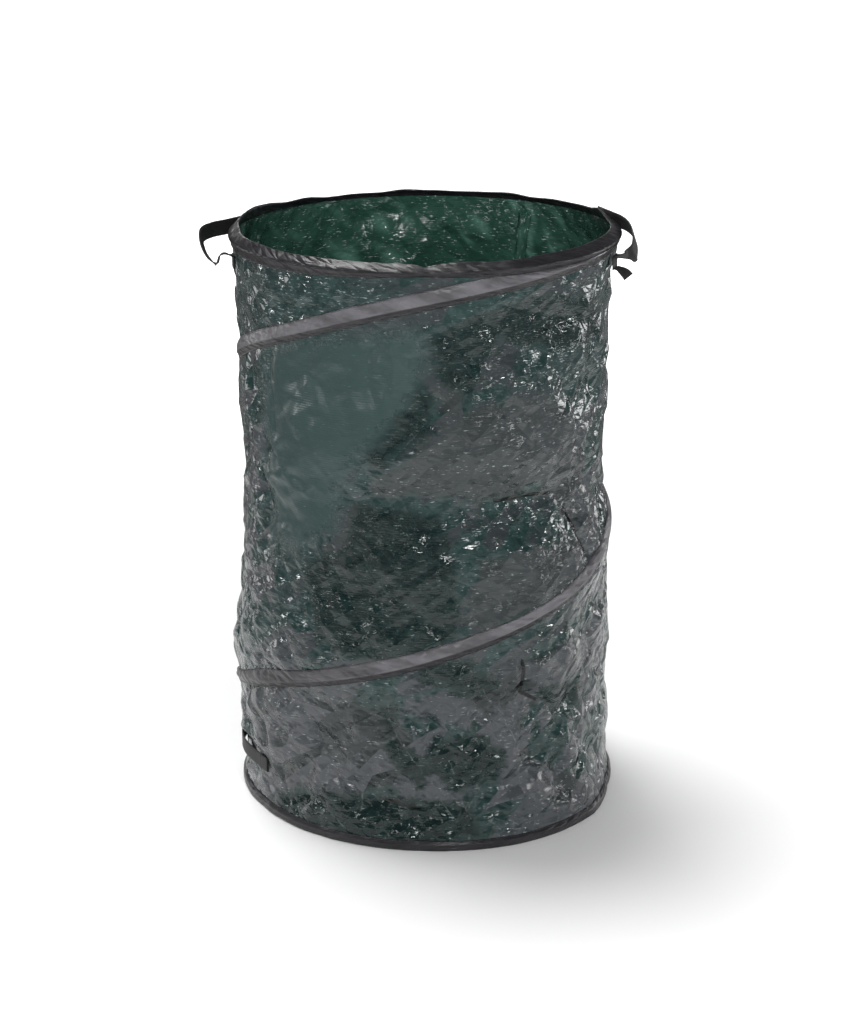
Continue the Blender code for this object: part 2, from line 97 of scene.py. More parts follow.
def ease(share):
    """A share that leaves 0 and reaches 1 smoothly."""
    share = np.clip(share, 0, 1)
    return share * share * (3 - 2 * share)


def glide(start, leave, end, arrive, t):
    """A point on a smooth curve between two, with the slopes that it leaves and arrives by."""
    return (start * (2 * t**3 - 3 * t**2 + 1) + leave * (t**3 - 2 * t**2 + t)
            + end * (3 * t**2 - 2 * t**3) + arrive * (t**3 - t**2))


def through(values, share):
    """A smooth curve through evenly spaced values, level at both ends, read at a share of its length."""
    values = np.asarray(values, float)
    place = np.clip(share, 0, 1) * (len(values) - 1)
    i = np.minimum(np.floor(place).astype(int), len(values) - 2)
    slope = np.zeros_like(values)
    slope[1:-1] = (values[2:] - values[:-2]) / 2
    return glide(values[i], slope[i], values[i + 1], slope[i + 1], place - i)


def wire_height(turn):
    """Height of the wire: the rim hoop is turn -1 to 0, the spiral 0 to 2 and the base hoop 2 to 3."""
    turn = np.asarray(turn, float)
    top, bottom = RIM_WIRE - WIRE_LAP, BASE_WIRE + WIRE_LAP
    spiral = top - (top - bottom) * through(FALL, (turn - FALL_LEAD) / (2 - 2 * FALL_LEAD))
    rim = RIM_WIRE - WIRE_LAP * ease(turn / LAP_TURN + 1)
    base = BASE_WIRE + WIRE_LAP * (1 - ease((turn - 2) / LAP_TURN))
    return np.where(turn <= 0, rim, np.where(turn >= 2, base, spiral))


def side_line(points):
    """One side's radius at each millimetre of height, with its corners softened."""
    heights = np.linspace(-0.05, 0.82, 871)
    reach, soft = 30, 9
    radii = np.pad(np.interp(heights, *zip(*points)), reach, mode="edge")
    weights = np.exp(-0.5 * (np.arange(-reach, reach + 1) / soft) ** 2)
    return heights, np.convolve(radii, weights / weights.sum(), mode="valid")


LEFT_LINE, RIGHT_LINE = side_line(LEFT_SIDE), side_line(RIGHT_SIDE)


def spread_at(angle, height=0.0):
    """How far the base hoop, which isn't quite round, pushes the foot of the bag out."""
    return np.interp(np.asarray(angle) % 360, *zip(*BASE_SPREAD)) * ease(1 - np.asarray(height) / SPREAD_HEIGHT)


def bag_radius(angle, height):
    """The fabric's radius before it crumples, leaning between the left side's line and the right side's."""
    height = np.asarray(height)
    left, right = np.interp(height, *LEFT_LINE), np.interp(height, *RIGHT_LINE)
    upright = ease((height - UPRIGHT_ABOVE) / UPRIGHT_OVER) + ease((UPRIGHT_OVER - height) / UPRIGHT_OVER)
    pull = np.clip(upright, 0, 1) * np.where(height > TUBE_TOP / 2, HEM_PULL, 1)
    leaning = (left + right) / 2 + (right - left) / 2 * np.cos(np.radians(angle))
    return leaning + (TUBE_RADIUS - leaning) * pull + spread_at(angle, height)


def on_bag(angle, radius, height):
    """The point at an angle round the bag, a distance from its axis and a height."""
    turned = np.radians(angle)
    return np.stack(np.broadcast_arrays(radius * np.cos(turned), -radius * np.sin(turned), height), -1)


def wear_finish(piece, material):
    """The piece, with this material alone."""
    piece.data.materials.clear()
    piece.data.materials.append(material)
    return piece


def skin(name, rows, material, joined=False, hollow=False):
    """A mesh through rows of points. joined closes the last row on the first. A row is a closed outline, or an open
    one if hollow. UVs are in metres, along the rows and across them."""
    rows = np.asarray(rows, float)
    count, wide = rows.shape[:2]
    along, across = (count if joined else count - 1), (wide - 1 if hollow else wide)
    i, j = np.meshgrid(np.arange(along), np.arange(across), indexing="ij")
    near, far, side = i, (i + 1) % count, (j + 1) % wide
    corners = [near * wide + j, near * wide + side, far * wide + side, far * wide + j]
    faces = np.stack(corners, -1).reshape(-1, 4).tolist()
    if not joined and not hollow:
        faces += [list(range(wide))[::-1], [(count - 1) * wide + k for k in range(wide)]]
    mesh = bpy.data.meshes.new(name)
    mesh.from_pydata(rows.reshape(-1, 3).tolist(), [], faces)
    run = np.linalg.norm(np.roll(rows, -1, axis=0) - rows, axis=2).mean(axis=1)
    girth = np.linalg.norm(np.roll(rows, -1, axis=1) - rows, axis=2).mean(axis=0)
    u, v = np.concatenate([[0], np.cumsum(run)]), np.concatenate([[0], np.cumsum(girth)])
    pairs = np.stack([u[[i, i, i + 1, i + 1]], v[[j, j + 1, j + 1, j]]], -1)
    flat = np.zeros((len(mesh.loops), 2))
    flat[: 4 * along * across] = np.moveaxis(pairs, 0, 2).reshape(-1, 2)
    mesh.uv_layers.new(name="lay").data.foreach_set("uv", flat.ravel())
    if not hollow:
        form = bmesh.new()
        form.from_mesh(mesh)
        bmesh.ops.recalc_face_normals(form, faces=form.faces)
        form.to_mesh(mesh)
        form.free()
    return placed(name, mesh, material)


def placed(name, mesh, material):
    """A smooth piece of that mesh in the scene."""
    mesh.shade_smooth()
    piece = bpy.data.objects.new(name, mesh)
    bpy.context.scene.collection.objects.link(piece)
    return wear_finish(piece, material)


def fill(node, inputs):
    """A node's sockets, each linked to another node's or set to a constant."""
    for key, value in inputs.items():
        if isinstance(value, bpy.types.NodeSocket):
            node.id_data.links.new(value, node.inputs[key])
        else:
            node.inputs[key].default_value = value


def add(beside, kind, inputs=None, **settings):
    """A new shader node with its settings and sockets, in a tree or beside a socket in its tree."""
    made = beside.id_data.nodes.new(kind)
    for key, value in settings.items():
        setattr(made, key, value)
    fill(made, inputs or {})
    return made


def calc(operation, first, second):
    """The result of a sum on two sockets, or on a socket and a number."""
    beside = first if isinstance(first, bpy.types.NodeSocket) else second
    return add(beside, "ShaderNodeMath", {0: first, 1: second}, operation=operation).outputs["Value"]


def times(first, second):
    return calc("MULTIPLY", first, second)


def plus(first, *others):
    """All the terms added up in turn."""
    for other in others:
        first = calc("ADD", first, other)
    return first


def less(first, second):
    return calc("SUBTRACT", first, second)


def most(first, *others):
    """The highest of them."""
    for other in others:
        first = calc("MAXIMUM", first, other)
    return first


def ranged(value, low, high, start=0.0, end=1.0):
    """A value's range from low to high turned smoothly into one from start to end."""
    inputs = {"Value": value, "From Min": low, "From Max": high, "To Min": start, "To Max": end}
    return add(value, "ShaderNodeMapRange", inputs, interpolation_type="SMOOTHSTEP").outputs["Result"]


def mixed(factor, first, second):
    """One colour laid over another by a factor."""
    inputs = {"Factor": factor, "A": first, "B": second}
    return add(factor, "ShaderNodeMix", inputs, data_type="RGBA").outputs["Result"]


def laid(tree):
    """Places on a piece in metres, along it and across it."""
    return add(tree, "ShaderNodeUVMap", uv_map="lay").outputs["UV"]


def stretched(lay, scale):
    return add(lay, "ShaderNodeMapping", {"Vector": lay, "Scale": scale}).outputs["Vector"]


def noise(place, scale, detail, rough=0.5, warp=0.0, ridged=False):
    """Noise from 0 to 1, or sharp ridges of it."""
    inputs = {"Vector": place, "Scale": scale, "Detail": detail, "Roughness": rough, "Distortion": warp}
    kind = "RIDGED_MULTIFRACTAL" if ridged else "FBM"
    return add(place, "ShaderNodeTexNoise", inputs, noise_type=kind).outputs["Fac"]


def relief(height, distance=1.0, strength=1.0):
    """The normal of a surface that rises so high."""
    inputs = {"Height": height, "Distance": distance, "Strength": strength}
    return add(height, "ShaderNodeBump", inputs).outputs["Normal"]


def plain_material(name):
    """A new material, its node tree and its shader."""
    made = bpy.data.materials.new(name)
    made.use_nodes = True
    return made, made.node_tree, made.node_tree.nodes["Principled BSDF"]


def bare_metal(name, grain, dark, light, rough, depth, strength, drawn=False):
    """Metal with a fine grain, which lies along a piece that is drawn: its scale, two tones, depth and strength."""
    made, tree, shader = plain_material(name)
    place = laid(tree) if drawn else add(tree, "ShaderNodeTexCoord").outputs["Object"]
    tone = noise(stretched(place, grain), 1.0, 3.0)
    fill(shader, {"Base Color": mixed(tone, dark, light), "Metallic": 1.0, "Roughness": rough,
                  "Normal": relief(tone, depth, strength)})
    return made


WIRE_TURNS = np.linspace(-1, 3, 4 * 120 + 1)
wire_z = wire_height(WIRE_TURNS)
wire_line = on_bag(360 * WIRE_TURNS, bag_radius(360 * WIRE_TURNS, wire_z) + FABRIC_TO_WIRE, wire_z)
wire_out = on_bag(360 * WIRE_TURNS, 1.0, 0.0)
round_it = np.radians(np.arange(0, 360, 45))
UP = np.array([0, 0, 1.0])
wire_rows = (
    wire_line[:, None]
    + wire_out[:, None] * (WIRE_THICK / 2 * np.cos(round_it))[None, :, None]
    + UP * (WIRE_THICK / 2 * np.sin(round_it))[None, :, None]
)
drawn_steel = bare_metal("drawn_spring_steel", (40, 4000, 1), (0.28, 0.29, 0.31, 1), (0.55, 0.56, 0.58, 1),
                         0.34, 0.0001, 0.4, drawn=True)
wire = skin("spring_wire", wire_rows, drawn_steel)
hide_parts("spring_coil")


def fold_flat(piece):
    """The piece goes with the base body, on a mesh of its own."""
    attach(piece, "base")
    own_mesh(piece)


fold_flat(wire)


# The fabric tube
# Woven polyethylene tape with a glossy coat, cut as one sheet, sewn into a round and gathered on to the wire. It is
# longer than the bag is tall, so it crumples into flat facets with sharp creases, and puckers where tape is sewn on.
COLUMNS = 440
ROWS = 216
ROUND = 2 * math.pi * TUBE_RADIUS
RIM_PINCH = 0.7492
CREASE_RISE = 0.0022
CRINKLE_RISE = 0.00022
SLACK_CRINKLE_RISE = 0.00036
WEAVE_RISE = 0.00006
DARKEST_GREEN = (0.004, 0.010, 0.010, 1)
DARK_GREEN = (0.009, 0.024, 0.022, 1)
TEAL_GREEN = (0.028, 0.055, 0.053, 1)
FRESH_GREEN = (0.050, 0.118, 0.092, 1)
# Painted reflection: grey where the glossy coat would mirror the white floor
SHEEN_GREY = (0.031, 0.038, 0.040, 1)
PALE_SHEEN = (0.058, 0.064, 0.070, 1)
SHADED_GREY = (0.024, 0.030, 0.031, 1)
SHADED_FRESH = (0.016, 0.050, 0.036, 1)
CREASE_HIGHLIGHT_GREY = (0.17, 0.19, 0.19, 1)
GLINT_WHITE = (0.30, 0.34, 0.34, 1)
TUCK_SHADE_BLACK = (0.002, 0.003, 0.003, 1)


def patchy(seed, across, up, angle, height):
    """Soft noise from -1 to 1, with so many patches round the bag and up it."""
    seeds = np.random.default_rng(seed).uniform(-1, 1, (across, up + 3))
    u, v = (np.asarray(angle) % 360) / 360 * across, np.clip(np.asarray(height) / TUBE_TOP, 0, 1) * up
    i, j = np.floor(u).astype(int), np.floor(v).astype(int)
    s, t = ease(u - i), ease(v - j)
    a, b = i % across, (i + 1) % across
    low = seeds[a, j] * (1 - s) + seeds[b, j] * s
    high = seeds[a, j + 1] * (1 - s) + seeds[b, j + 1] * s
    return low * (1 - t) + high * t


def frilled(seed, across, angle):
    """The same noise round the bag alone."""
    return patchy(seed, across, 1, angle, 0 * np.asarray(angle, float))


def creased(seed, long, tall, lean, angle, height):
    """Heights from -1 to 1 of a sheet crumpled into flat facets of about that size, leaning so much from upright."""
    chance = np.random.default_rng(seed)
    count, rows = round(ROUND / long), int(TUBE_TOP / tall) + 5
    step = ROUND / count
    spare = int(TUBE_TOP * abs(lean) / step) + 3
    shift, lift = chance.uniform(-0.42, 0.42, (count, rows, 2)), chance.uniform(-1, 1, (count, rows))
    places, lifts = [], []
    for i in range(-spare, count + spare):
        for j in range(rows):
            up = (j - 1.5 + shift[i % count, j, 1]) * tall
            places.append(Vector(((i + 0.5 * (j % 2) + shift[i % count, j, 0]) * step + lean * up, up)))
            lifts.append(lift[i % count, j])
    spots, _, facets, origin = delaunay_2d_cdt(places, [], [], 0, 1e-9)[:4]
    sheet = BVHTree.FromPolygons([(p.x, p.y, lifts[o[0]] if o else 0) for p, o in zip(spots, origin)], facets)
    around = np.radians(angle) * TUBE_RADIUS
    hits = [sheet.ray_cast((x, y, 3), (0, 0, -1))[0] for x, y in zip(around.ravel(), height.ravel())]
    return np.array([h.z if h else 0 for h in hits]).reshape(around.shape)


def spot(angle, height, at_angle, at_height, wide, tall, lean):
    """1 in the middle of a patch of that width and height in metres, falling to 0 outside it."""
    y = height - at_height
    x = np.radians((angle - at_angle + 180) % 360 - 180) * HOOP_RADIUS - lean * y
    return np.exp(-((x / wide) ** 2 + (y / tall) ** 2))


def far_from(angle, height, route):
    """The distance in metres over the tube from a route of (angle, height)."""
    x = np.radians(angle) * HOOP_RADIUS
    nearest = np.full(x.shape, 9.0)
    for (a0, h0), (a1, h1) in zip(route, route[1:]):
        x0, dx, dh = math.radians(a0) * HOOP_RADIUS, math.radians(a1 - a0) * HOOP_RADIUS, h1 - h0
        t = np.clip(((x - x0) * dx + (height - h0) * dh) / (dx * dx + dh * dh), 0, 1)
        nearest = np.minimum(nearest, np.hypot(x - x0 - t * dx, height - h0 - t * dh))
    return nearest


def depth_in(angle, height, outline):
    """How far in metres a point lies inside an outline of (angle, height), below zero outside it."""
    inside = np.zeros(angle.shape, bool)
    for (a0, h0), (a1, h1) in zip(outline, outline[1:] + outline[:1]):
        level = (height - h0) / ((h1 - h0) or 1e-9)
        inside ^= ((h0 > height) != (h1 > height)) & (angle < a0 + (a1 - a0) * level)
    return far_from(angle, height, outline + outline[:1]) * np.where(inside, 1, -1)


def fold_line(angle, height, rise, width, route):
    """A sharp fold along a route: its rise, and the width of its slopes, in metres."""
    return rise * np.exp(-far_from(angle, height, route) / width)


# Where webbing is sewn on, and the fabric lies flat: angles, heights and radius
SEWN_FLAT = ((148, 188, 0.044, 0.075, 0.2441), (165, 172, 0.704, 0.728, 0.2455))
SEWN_EASE = 0.012

# Where the fabric is drawn tight between two turns of the wire, as spot takes it, and how much calmer it is there
CALM_SPOT = (118, 0.50, 0.075, 0.12, 0.2)
CALMER = 0.75

# The facets that the fabric crumples into, each as (length, height, lean): big, middle, small and long
FACETS = ((0.092, 0.080, 0.35), (0.044, 0.036, -0.45), (0.019, 0.016, 0.30), (0.026, 0.090, -0.85))

# Folds that the photograph shows, each as (rise, width, route)
FOLDS = (
    (0.0022, 0.006, ((115.7, 0.398), (106.1, 0.358), (96.9, 0.315))),
    (0.0018, 0.005, ((110.5, 0.408), (101.5, 0.366), (94.0, 0.328))),
    (-0.0100, 0.010, ((35.8, 0.412), (34.0, 0.381), (30.5, 0.350))),
    (-0.0065, 0.007, ((60.4, 0.240), (60.0, 0.212), (59.6, 0.193))),
    (-0.0030, 0.010, ((59.6, 0.193), (51.7, 0.173), (43.0, 0.150))),
    (-0.0075, 0.022, ((112.3, 0.453), (97.5, 0.462), (84.5, 0.458), (68.1, 0.447), (54.5, 0.447))),
    (0.0050, 0.020, ((112.3, 0.453), (100.4, 0.500), (87.6, 0.545), (74.3, 0.580), (56.0, 0.584))),
    (0.0030, 0.007, ((91.5, 0.690), (91.8, 0.657), (90.7, 0.636), (83.6, 0.589))),
    (-0.0035, 0.008, ((80.5, 0.616), (77.3, 0.602), (73.7, 0.589))),
    (-0.0040, 0.010, ((65.6, 0.699), (52.3, 0.679), (41.0, 0.669), (22.9, 0.645))),
    (0.0040, 0.012, ((89.0, 0.674), (78.7, 0.695), (66.2, 0.706))),
    (-0.0045, 0.008, ((144.9, 0.640), (143.6, 0.588), (142.3, 0.520))),
    (-0.0045, 0.010, ((165.0, 0.570), (156.9, 0.496), (148.9, 0.425), (149.6, 0.371))),
    (0.0045, 0.010, ((41.3, 0.565), (39.6, 0.512), (37.2, 0.457), (34.7, 0.420))),
    (0.0035, 0.010, ((168.0, 0.290), (151.0, 0.265), (135.5, 0.222))),
    (-0.0035, 0.010, ((135.8, 0.361), (127.0, 0.315), (120.0, 0.268), (113.4, 0.236))),
    (-0.0045, 0.012, ((128.7, 0.040), (110.7, 0.055), (101.0, 0.058), (89.2, 0.048))),
    (0.0045, 0.012, ((60.6, 0.146), (64.3, 0.113), (69.5, 0.084))),
    (0.0045, 0.010, ((44.2, 0.120), (42.1, 0.070), (39.8, 0.025))),
    (-0.0045, 0.012, ((102.5, 0.174), (97.2, 0.126), (86.8, 0.119))),
    (0.0040, 0.012, ((92.2, 0.025), (77.1, 0.052), (60.7, 0.064))),
)

# Where a fold is tucked in so deep that its shade is painted black
TUCKS = (
    ((35.8, 0.412), (34.0, 0.381), (30.5, 0.350)), ((60.4, 0.240), (60.0, 0.212), (59.6, 0.193), (54.0, 0.178)),
    ((67.0, 0.447), (54.5, 0.447), (45.0, 0.443)), ((103.0, 0.058), (92.0, 0.052)),
)


def tuck_shade_at(angle, height):
    """1 in the bottom of the tucks, where black shade is painted, and nothing a few millimetres from it."""
    return np.exp(-np.min([far_from(angle, height, route) for route in TUCKS], axis=0) / 0.004)


def crumples(angle, height):
    """How far the facets stand out, finer and deeper in the slack lower part and at the sides, and their crests."""
    low, side = ease((0.34 - height) / 0.20), np.abs(np.cos(np.radians(angle))) ** 5
    fine = 1 + 0.35 * patchy(11, 7, 5, angle, height) + 0.45 * low + 0.20 * side
    big, middle, small, long = (creased(seed, *facet, angle, height) for seed, facet in enumerate(FACETS, 1))
    big, middle, small = 0.0062 * big, 0.0036 * middle, 0.0017 * small
    long = (0.0014 + 0.0030 * low + 0.0006 * side) * long
    return big + (middle + small + long) * fine, (middle + 2 * small + long) / 0.006


def tube_relief(angle, height):
    """How far the crumpled fabric stands out from the plain tube, and how much of it is a crest. Next to the wire
    it is held by the tape, and puckers there."""
    turn = (angle % 360) / 360
    from_wire = np.min([np.abs(height - wire_height(turn + k)) for k in (-1, 0, 1, 2)], axis=0)
    free = ease((from_wire - 0.004) / 0.038) * (1 - CALMER * spot(angle, height, *CALM_SPOT))
    relief, crest = crumples(angle, height)
    folds = sum(fold_line(angle, height, *fold) for fold in FOLDS) * ease((from_wire - 0.003) / 0.014)
    gather = np.sin(np.radians(angle) * 97 + 5 * patchy(21, 30, 9, angle, height)) * patchy(22, 60, 12, angle, height)
    pucker = 0.0018 * gather * np.exp(-from_wire / 0.016) * ease((from_wire - 0.003) / 0.006)
    return relief * free + folds + pucker, crest * free


angle_grid, height_grid = np.meshgrid(
    np.arange(COLUMNS) * 360 / COLUMNS, np.linspace(TUBE_FOOT, TUBE_TOP, ROWS), indexing="ij"
)
relief_grid, crest_grid = tube_relief(angle_grid, height_grid)
tube_radii = bag_radius(angle_grid, height_grid) + relief_grid
for first, last, low_edge, high_edge, seat in SEWN_FLAT:
    around = ease((angle_grid - first) / 3 + 1) * ease((last - angle_grid) / 3 + 1)
    level = ease((height_grid - low_edge) / SEWN_EASE + 1) * ease((high_edge - height_grid) / SEWN_EASE + 1)
    tube_radii += (seat - tube_radii) * around * level


def tube_at(angle, height):
    """The crumpled fabric's radius, read between the points of its mesh."""
    u = (np.asarray(angle) % 360) / 360 * COLUMNS
    v = np.clip((np.asarray(height) - TUBE_FOOT) / (TUBE_TOP - TUBE_FOOT), 0, 1) * (ROWS - 1)
    i, j = np.floor(u).astype(int) % COLUMNS, np.minimum(np.floor(v).astype(int), ROWS - 2)
    s, t = u - np.floor(u), v - j
    k = (i + 1) % COLUMNS
    low = tube_radii[i, j] * (1 - s) + tube_radii[k, j] * s
    high = tube_radii[i, j + 1] * (1 - s) + tube_radii[k, j + 1] * s
    return low * (1 - t) + high * t


# How far the hem's edge lies above or below its own line round the bag, as (angle, rise)
HEM_LEVELS = ((0, 0), (185, 0), (202, 0.0025), (220, -0.0010), (240, -0.0030), (270, -0.0030), (300, -0.0030),
              (320, -0.0015), (340, 0.0015), (352, 0), (360, 0))


def rim_lean(angle):
    """How far the hem's top edge leans in, and how far it rises or sags."""
    lean = 0.0075 + 0.0022 * frilled(31, 23, angle)
    notch = np.exp(-np.abs((np.asarray(angle) - 90) / 4.0))
    rough = 1 + 1.2 * ease((np.abs((np.asarray(angle) % 360) - 90) - 70) / 30)
    sag = 0.0010 * rough * frilled(32, 41, angle) - 0.0045 * notch + np.interp(angle, *zip(*HEM_LEVELS))
    return lean * (1 - 0.5 * notch), sag


# The coat's looks, as outlines of (angle, height): grey painted sheen, a painted reflection of the white floor, dark
# and finely crinkled where it is slack, teal where it is less so, and flat teal where it is drawn tight
SHEEN_OUTLINES = (
    ((112, .455), (106, .479), (99, .5), (92, .53), (87, .55), (86, .564), (77, .577), (67, .586), (55, .585),
     (43, .56), (41, .532), (32, .504), (25, .456), (20, .41), (34, .381), (47, .441), (53, .472), (58, .442),
     (68, .446), (85, .461), (97, .458)),
    ((87, .604), (80, .608), (78, .581), (83, .563), (87, .57)),
    ((161, .161), (132, .198), (110, .218), (110, .194), (102, .191), (95, .165), (89, .118), (82, .075), (86, .062),
     (103, .074), (114, .054), (137, .042), (154, .015), (153, .089), (159, .115)),
    ((96, .199), (80, .211), (61, .241), (46, .253), (22, .255), (18, .186), (46, .184), (58, .156), (54, .096),
     (40, .065), (19, .0), (45, .0), (61, .009), (53, .04), (68, .068), (71, .112), (74, .155), (86, .172)),
    ((74, .382), (55, .388), (24, .388), (23, .333), (46, .307), (61, .295), (77, .277), (77, .33)),
    ((112, .451), (119, .401), (126, .389), (116, .357), (108, .342), (102, .37), (92, .385), (98, .417),
     (106, .434)),
)
CRINKLED = (
    ((112, .45), (98, .447), (86, .437), (82, .391), (80, .331), (82, .279), (98, .259), (113, .253), (123, .265),
     (131, .352), (123, .379), (116, .377)),
    ((93, .614), (88, .589), (88, .551), (96, .523), (102, .502), (106, .498), (109, .516), (102, .55), (97, .589)),
    ((62, .705), (27, .68), (23, .637), (48, .634), (68, .659), (74, .624), (77, .587), (86, .614), (90, .663),
     (83, .681)),
    ((106, .196), (99, .192), (98, .144), (89, .104), (92, .077), (100, .103), (104, .142)),
    ((89, .145), (77, .149), (66, .122), (68, .082), (82, .075), (89, .104)),
    ((148, .018), (121, .062), (98, .062), (77, .06), (74, .016), (89, .007), (117, .008), (142, .006)),
    ((54, .193), (39, .196), (30, .176), (33, .145), (46, .149), (52, .171)),
    ((91, .247), (77, .244), (68, .219), (69, .193), (83, .212), (91, .227)),
)
TEALED = (
    ((177, .640), (150, .652), (120, .676), (100, .700), (95, .716), (100, .736), (140, .736), (177, .736)),
    ((60, .690), (30, .700), (4, .700), (4, .600), (20, .580), (40, .575), (60, .600)),
)
TAUT = (
    ((146, .631), (129, .65), (103, .668), (91, .676), (90, .626), (94, .601), (99, .563), (105, .53), (112, .502),
     (117, .467), (119, .414), (130, .379), (147, .367), (148, .453), (147, .559)),
)

# How deep inside an outline, or far outside it, a look's edge is felt
LOOK_DEPTH = 0.04


def look(outlines, angle, height):
    """How deep each point lies in a look's outlines. The back has them turned over, top to bottom."""
    back = angle > 180
    angle, height = np.where(back, angle - 180, angle), np.where(back, 0.745 - height, height)
    deepest = np.max([depth_in(angle, height, outline) for outline in outlines], axis=0)
    return np.clip(deepest, -LOOK_DEPTH, LOOK_DEPTH)


def lining(angle, height):
    """1 high on the back, whose other face shows through the rim: even green, without the painted sheen."""
    return ease((height - 0.54) / 0.08) * ease((angle - 184) / 8) * ease((356 - angle) / 8)


def mark(piece, **values):
    """Numbers on a piece's points, which its material reads by name: one for each point, or one for all."""
    for name, value in values.items():
        layer = piece.data.attributes.new(name, "FLOAT", "POINT")
        value = np.broadcast_to(np.ravel(value), len(piece.data.vertices))
        layer.data.foreach_set("value", value.astype(np.float32))


def marked(tree, name):
    """A number that the piece's points are marked with."""
    return add(tree, "ShaderNodeAttribute", attribute_name=name).outputs["Fac"]


def leant(lay, lean, long, wide):
    """Places for a texture whose cells are so long and wide, and lie along a lean from level."""
    inputs = {"Vector": lay, "Rotation": (0, 0, lean), "Scale": (long, wide, 1)}
    return add(lay, "ShaderNodeMapping", inputs, vector_type="TEXTURE").outputs["Vector"]


def yarns(lay, scale, warp, detail, across="Y"):
    """Even ribs of yarn, one after another across the piece or along it."""
    inputs = {"Vector": lay, "Scale": scale, "Distortion": warp, "Detail": detail}
    return add(lay, "ShaderNodeTexWave", inputs, wave_type="BANDS", bands_direction=across).outputs["Fac"]


def flat_cells(place, output, **settings):
    """Cells as flat as facets: the distance from their edges, or a colour for each."""
    inputs = {"Vector": place, "Scale": 1.0}
    return add(place, "ShaderNodeTexVoronoi", inputs, voronoi_dimensions="2D", **settings).outputs[output]


def fold_edges(place):
    return flat_cells(place, "Distance", feature="DISTANCE_TO_EDGE")


# The sharp folds of the coat, each as (lean, length, width, rise)
COAT_FOLDS = ((0.95, 0.100, 0.046, 0.0085), (0.30, 0.024, 0.011, 0.0014), (-0.60, 0.056, 0.023, -0.0046))


def coated_weave():
    """Glossy coated weave: flat tapes 3 mm wide, sharp creases, crinkles across them and small white specks of
    painted glint.
    """
    made, tree, shader = plain_material("coated_green_weave")
    lay = laid(tree)
    crease = noise(leant(lay, -0.8, 0.060, 0.030), 1.0, 5.0, 0.75, 0.3, ridged=True)
    places = [leant(lay, *cell) for *cell, _ in COAT_FOLDS]
    folds = [fold_edges(place) for place in places]
    facet = flat_cells(places[-1], "Color")
    facet = add(tree, "ShaderNodeSeparateColor", {"Color": facet}).outputs["Red"]
    level = stretched(lay, (95, 400, 1))
    hatch = noise(level, 1.0, 2.0, warp=0.4)
    torn = noise(lay, 60.0, 6.0, 0.7)
    weave = yarns(lay, 105.0, 1.2, 2.0)
    crest, fresh, low_side_sheen, tuck_shade = (marked(tree, name) for name in ("crest", "fresh", "low_side_sheen", "tuck_shade"))

    # Each look's ragged edge
    ragged = plus(times(less(torn, 0.5), 0.056), times(less(facet, 0.5), 0.010),
                  times(crest, 0.006))
    chalked, crinkled, tealed, taut = (
        ranged(plus(marked(tree, name), ragged), -soft, soft)
        for name, soft in (("chalked", 0.006), ("crinkled", 0.006), ("tealed", 0.020), ("taut", 0.020))
    )
    slack = less(1.0, times(taut, 0.80))

    # The colours, one over another
    patches = plus(times(torn, 0.56), times(facet, 0.44), times(crest, 0.14))
    tint = ranged(torn, 0.3, 0.7)
    green = mixed(tint, DARK_GREEN, TEAL_GREEN)
    sheen_colour = mixed(low_side_sheen, SHEEN_GREY, PALE_SHEEN)
    # Painted highlight: lighter grey lines along the sharpest creases
    crease_highlight = times(ranged(folds[0], 0.0, 0.03, 1.0, 0.0), ranged(torn, 0.50, 0.62))
    crease_highlight = times(times(crease_highlight, slack), plus(times(low_side_sheen, 0.30), 0.08))
    # Painted glints: small white specks of highlight on the fine crinkles
    glint_noise = plus(noise(level, 1.3, 1.0), times(most(fresh, tealed), 0.035))
    painted_glint = times(ranged(glint_noise, 0.63, 0.75), ranged(torn, 0.45, 0.62))
    outer = most(less(crinkled, fresh), 0.0)
    painted_glint = times(times(painted_glint, less(1.0, times(outer, 0.45))), slack)
    # Painted reflection: grey sheen laid over the green by a pattern of patches and crests
    colour = mixed(ranged(patches, 0.44, 0.58), green, sheen_colour)
    for share, coat in (
        (chalked, mixed(ranged(patches, 0.32, 0.46), SHADED_GREY, sheen_colour)),
        (times(tealed, 0.75), green),
        (crinkled, mixed(tint, DARKEST_GREEN, DARK_GREEN)),
        (taut, TEAL_GREEN),
        (fresh, mixed(ranged(crease, 0.02, 0.45), SHADED_FRESH, FRESH_GREEN)),
        (crease_highlight, CREASE_HIGHLIGHT_GREY),
        (painted_glint, GLINT_WHITE),
        # Painted shade: black in the bottom of the deepest tucks
        (ranged(plus(tuck_shade, times(torn, 0.3)), 0.62, 0.85), TUCK_SHADE_BLACK),
    ):
        colour = mixed(share, colour, coat)

    # The relief: creases and folds that are deeper low down and at the sides, then crinkles and the weave
    rises = [times(fold, way[-1]) for fold, way in zip(folds, COAT_FOLDS)]
    height = plus(times(crease, CREASE_RISE), *rises)
    height = times(height, plus(times(low_side_sheen, 0.5), 0.8))
    crinkle = times(plus(times(crinkled, SLACK_CRINKLE_RISE), CRINKLE_RISE), hatch)
    height = plus(times(plus(height, crinkle), slack), times(weave, WEAVE_RISE))
    rough = plus(times(chalked, 0.10), 0.15, times(taut, 0.16))
    fill(shader, {"Base Color": colour, "Roughness": rough, "IOR": 1.5, "Normal": relief(height)})
    return made


lean, sag = rim_lean(angle_grid)
hem = np.clip((height_grid - RIM_PINCH) / (TUBE_TOP - RIM_PINCH), 0, 1)
tube_rows = on_bag(angle_grid, tube_radii - lean * hem, height_grid + sag * hem)

# The side seam is at this column of the mesh
SEAM_COLUMN = 371


def from_seam(grid):
    """The grid turned to begin at the side seam, where the edges of the sheet meet."""
    return np.roll(grid, -SEAM_COLUMN, axis=0)


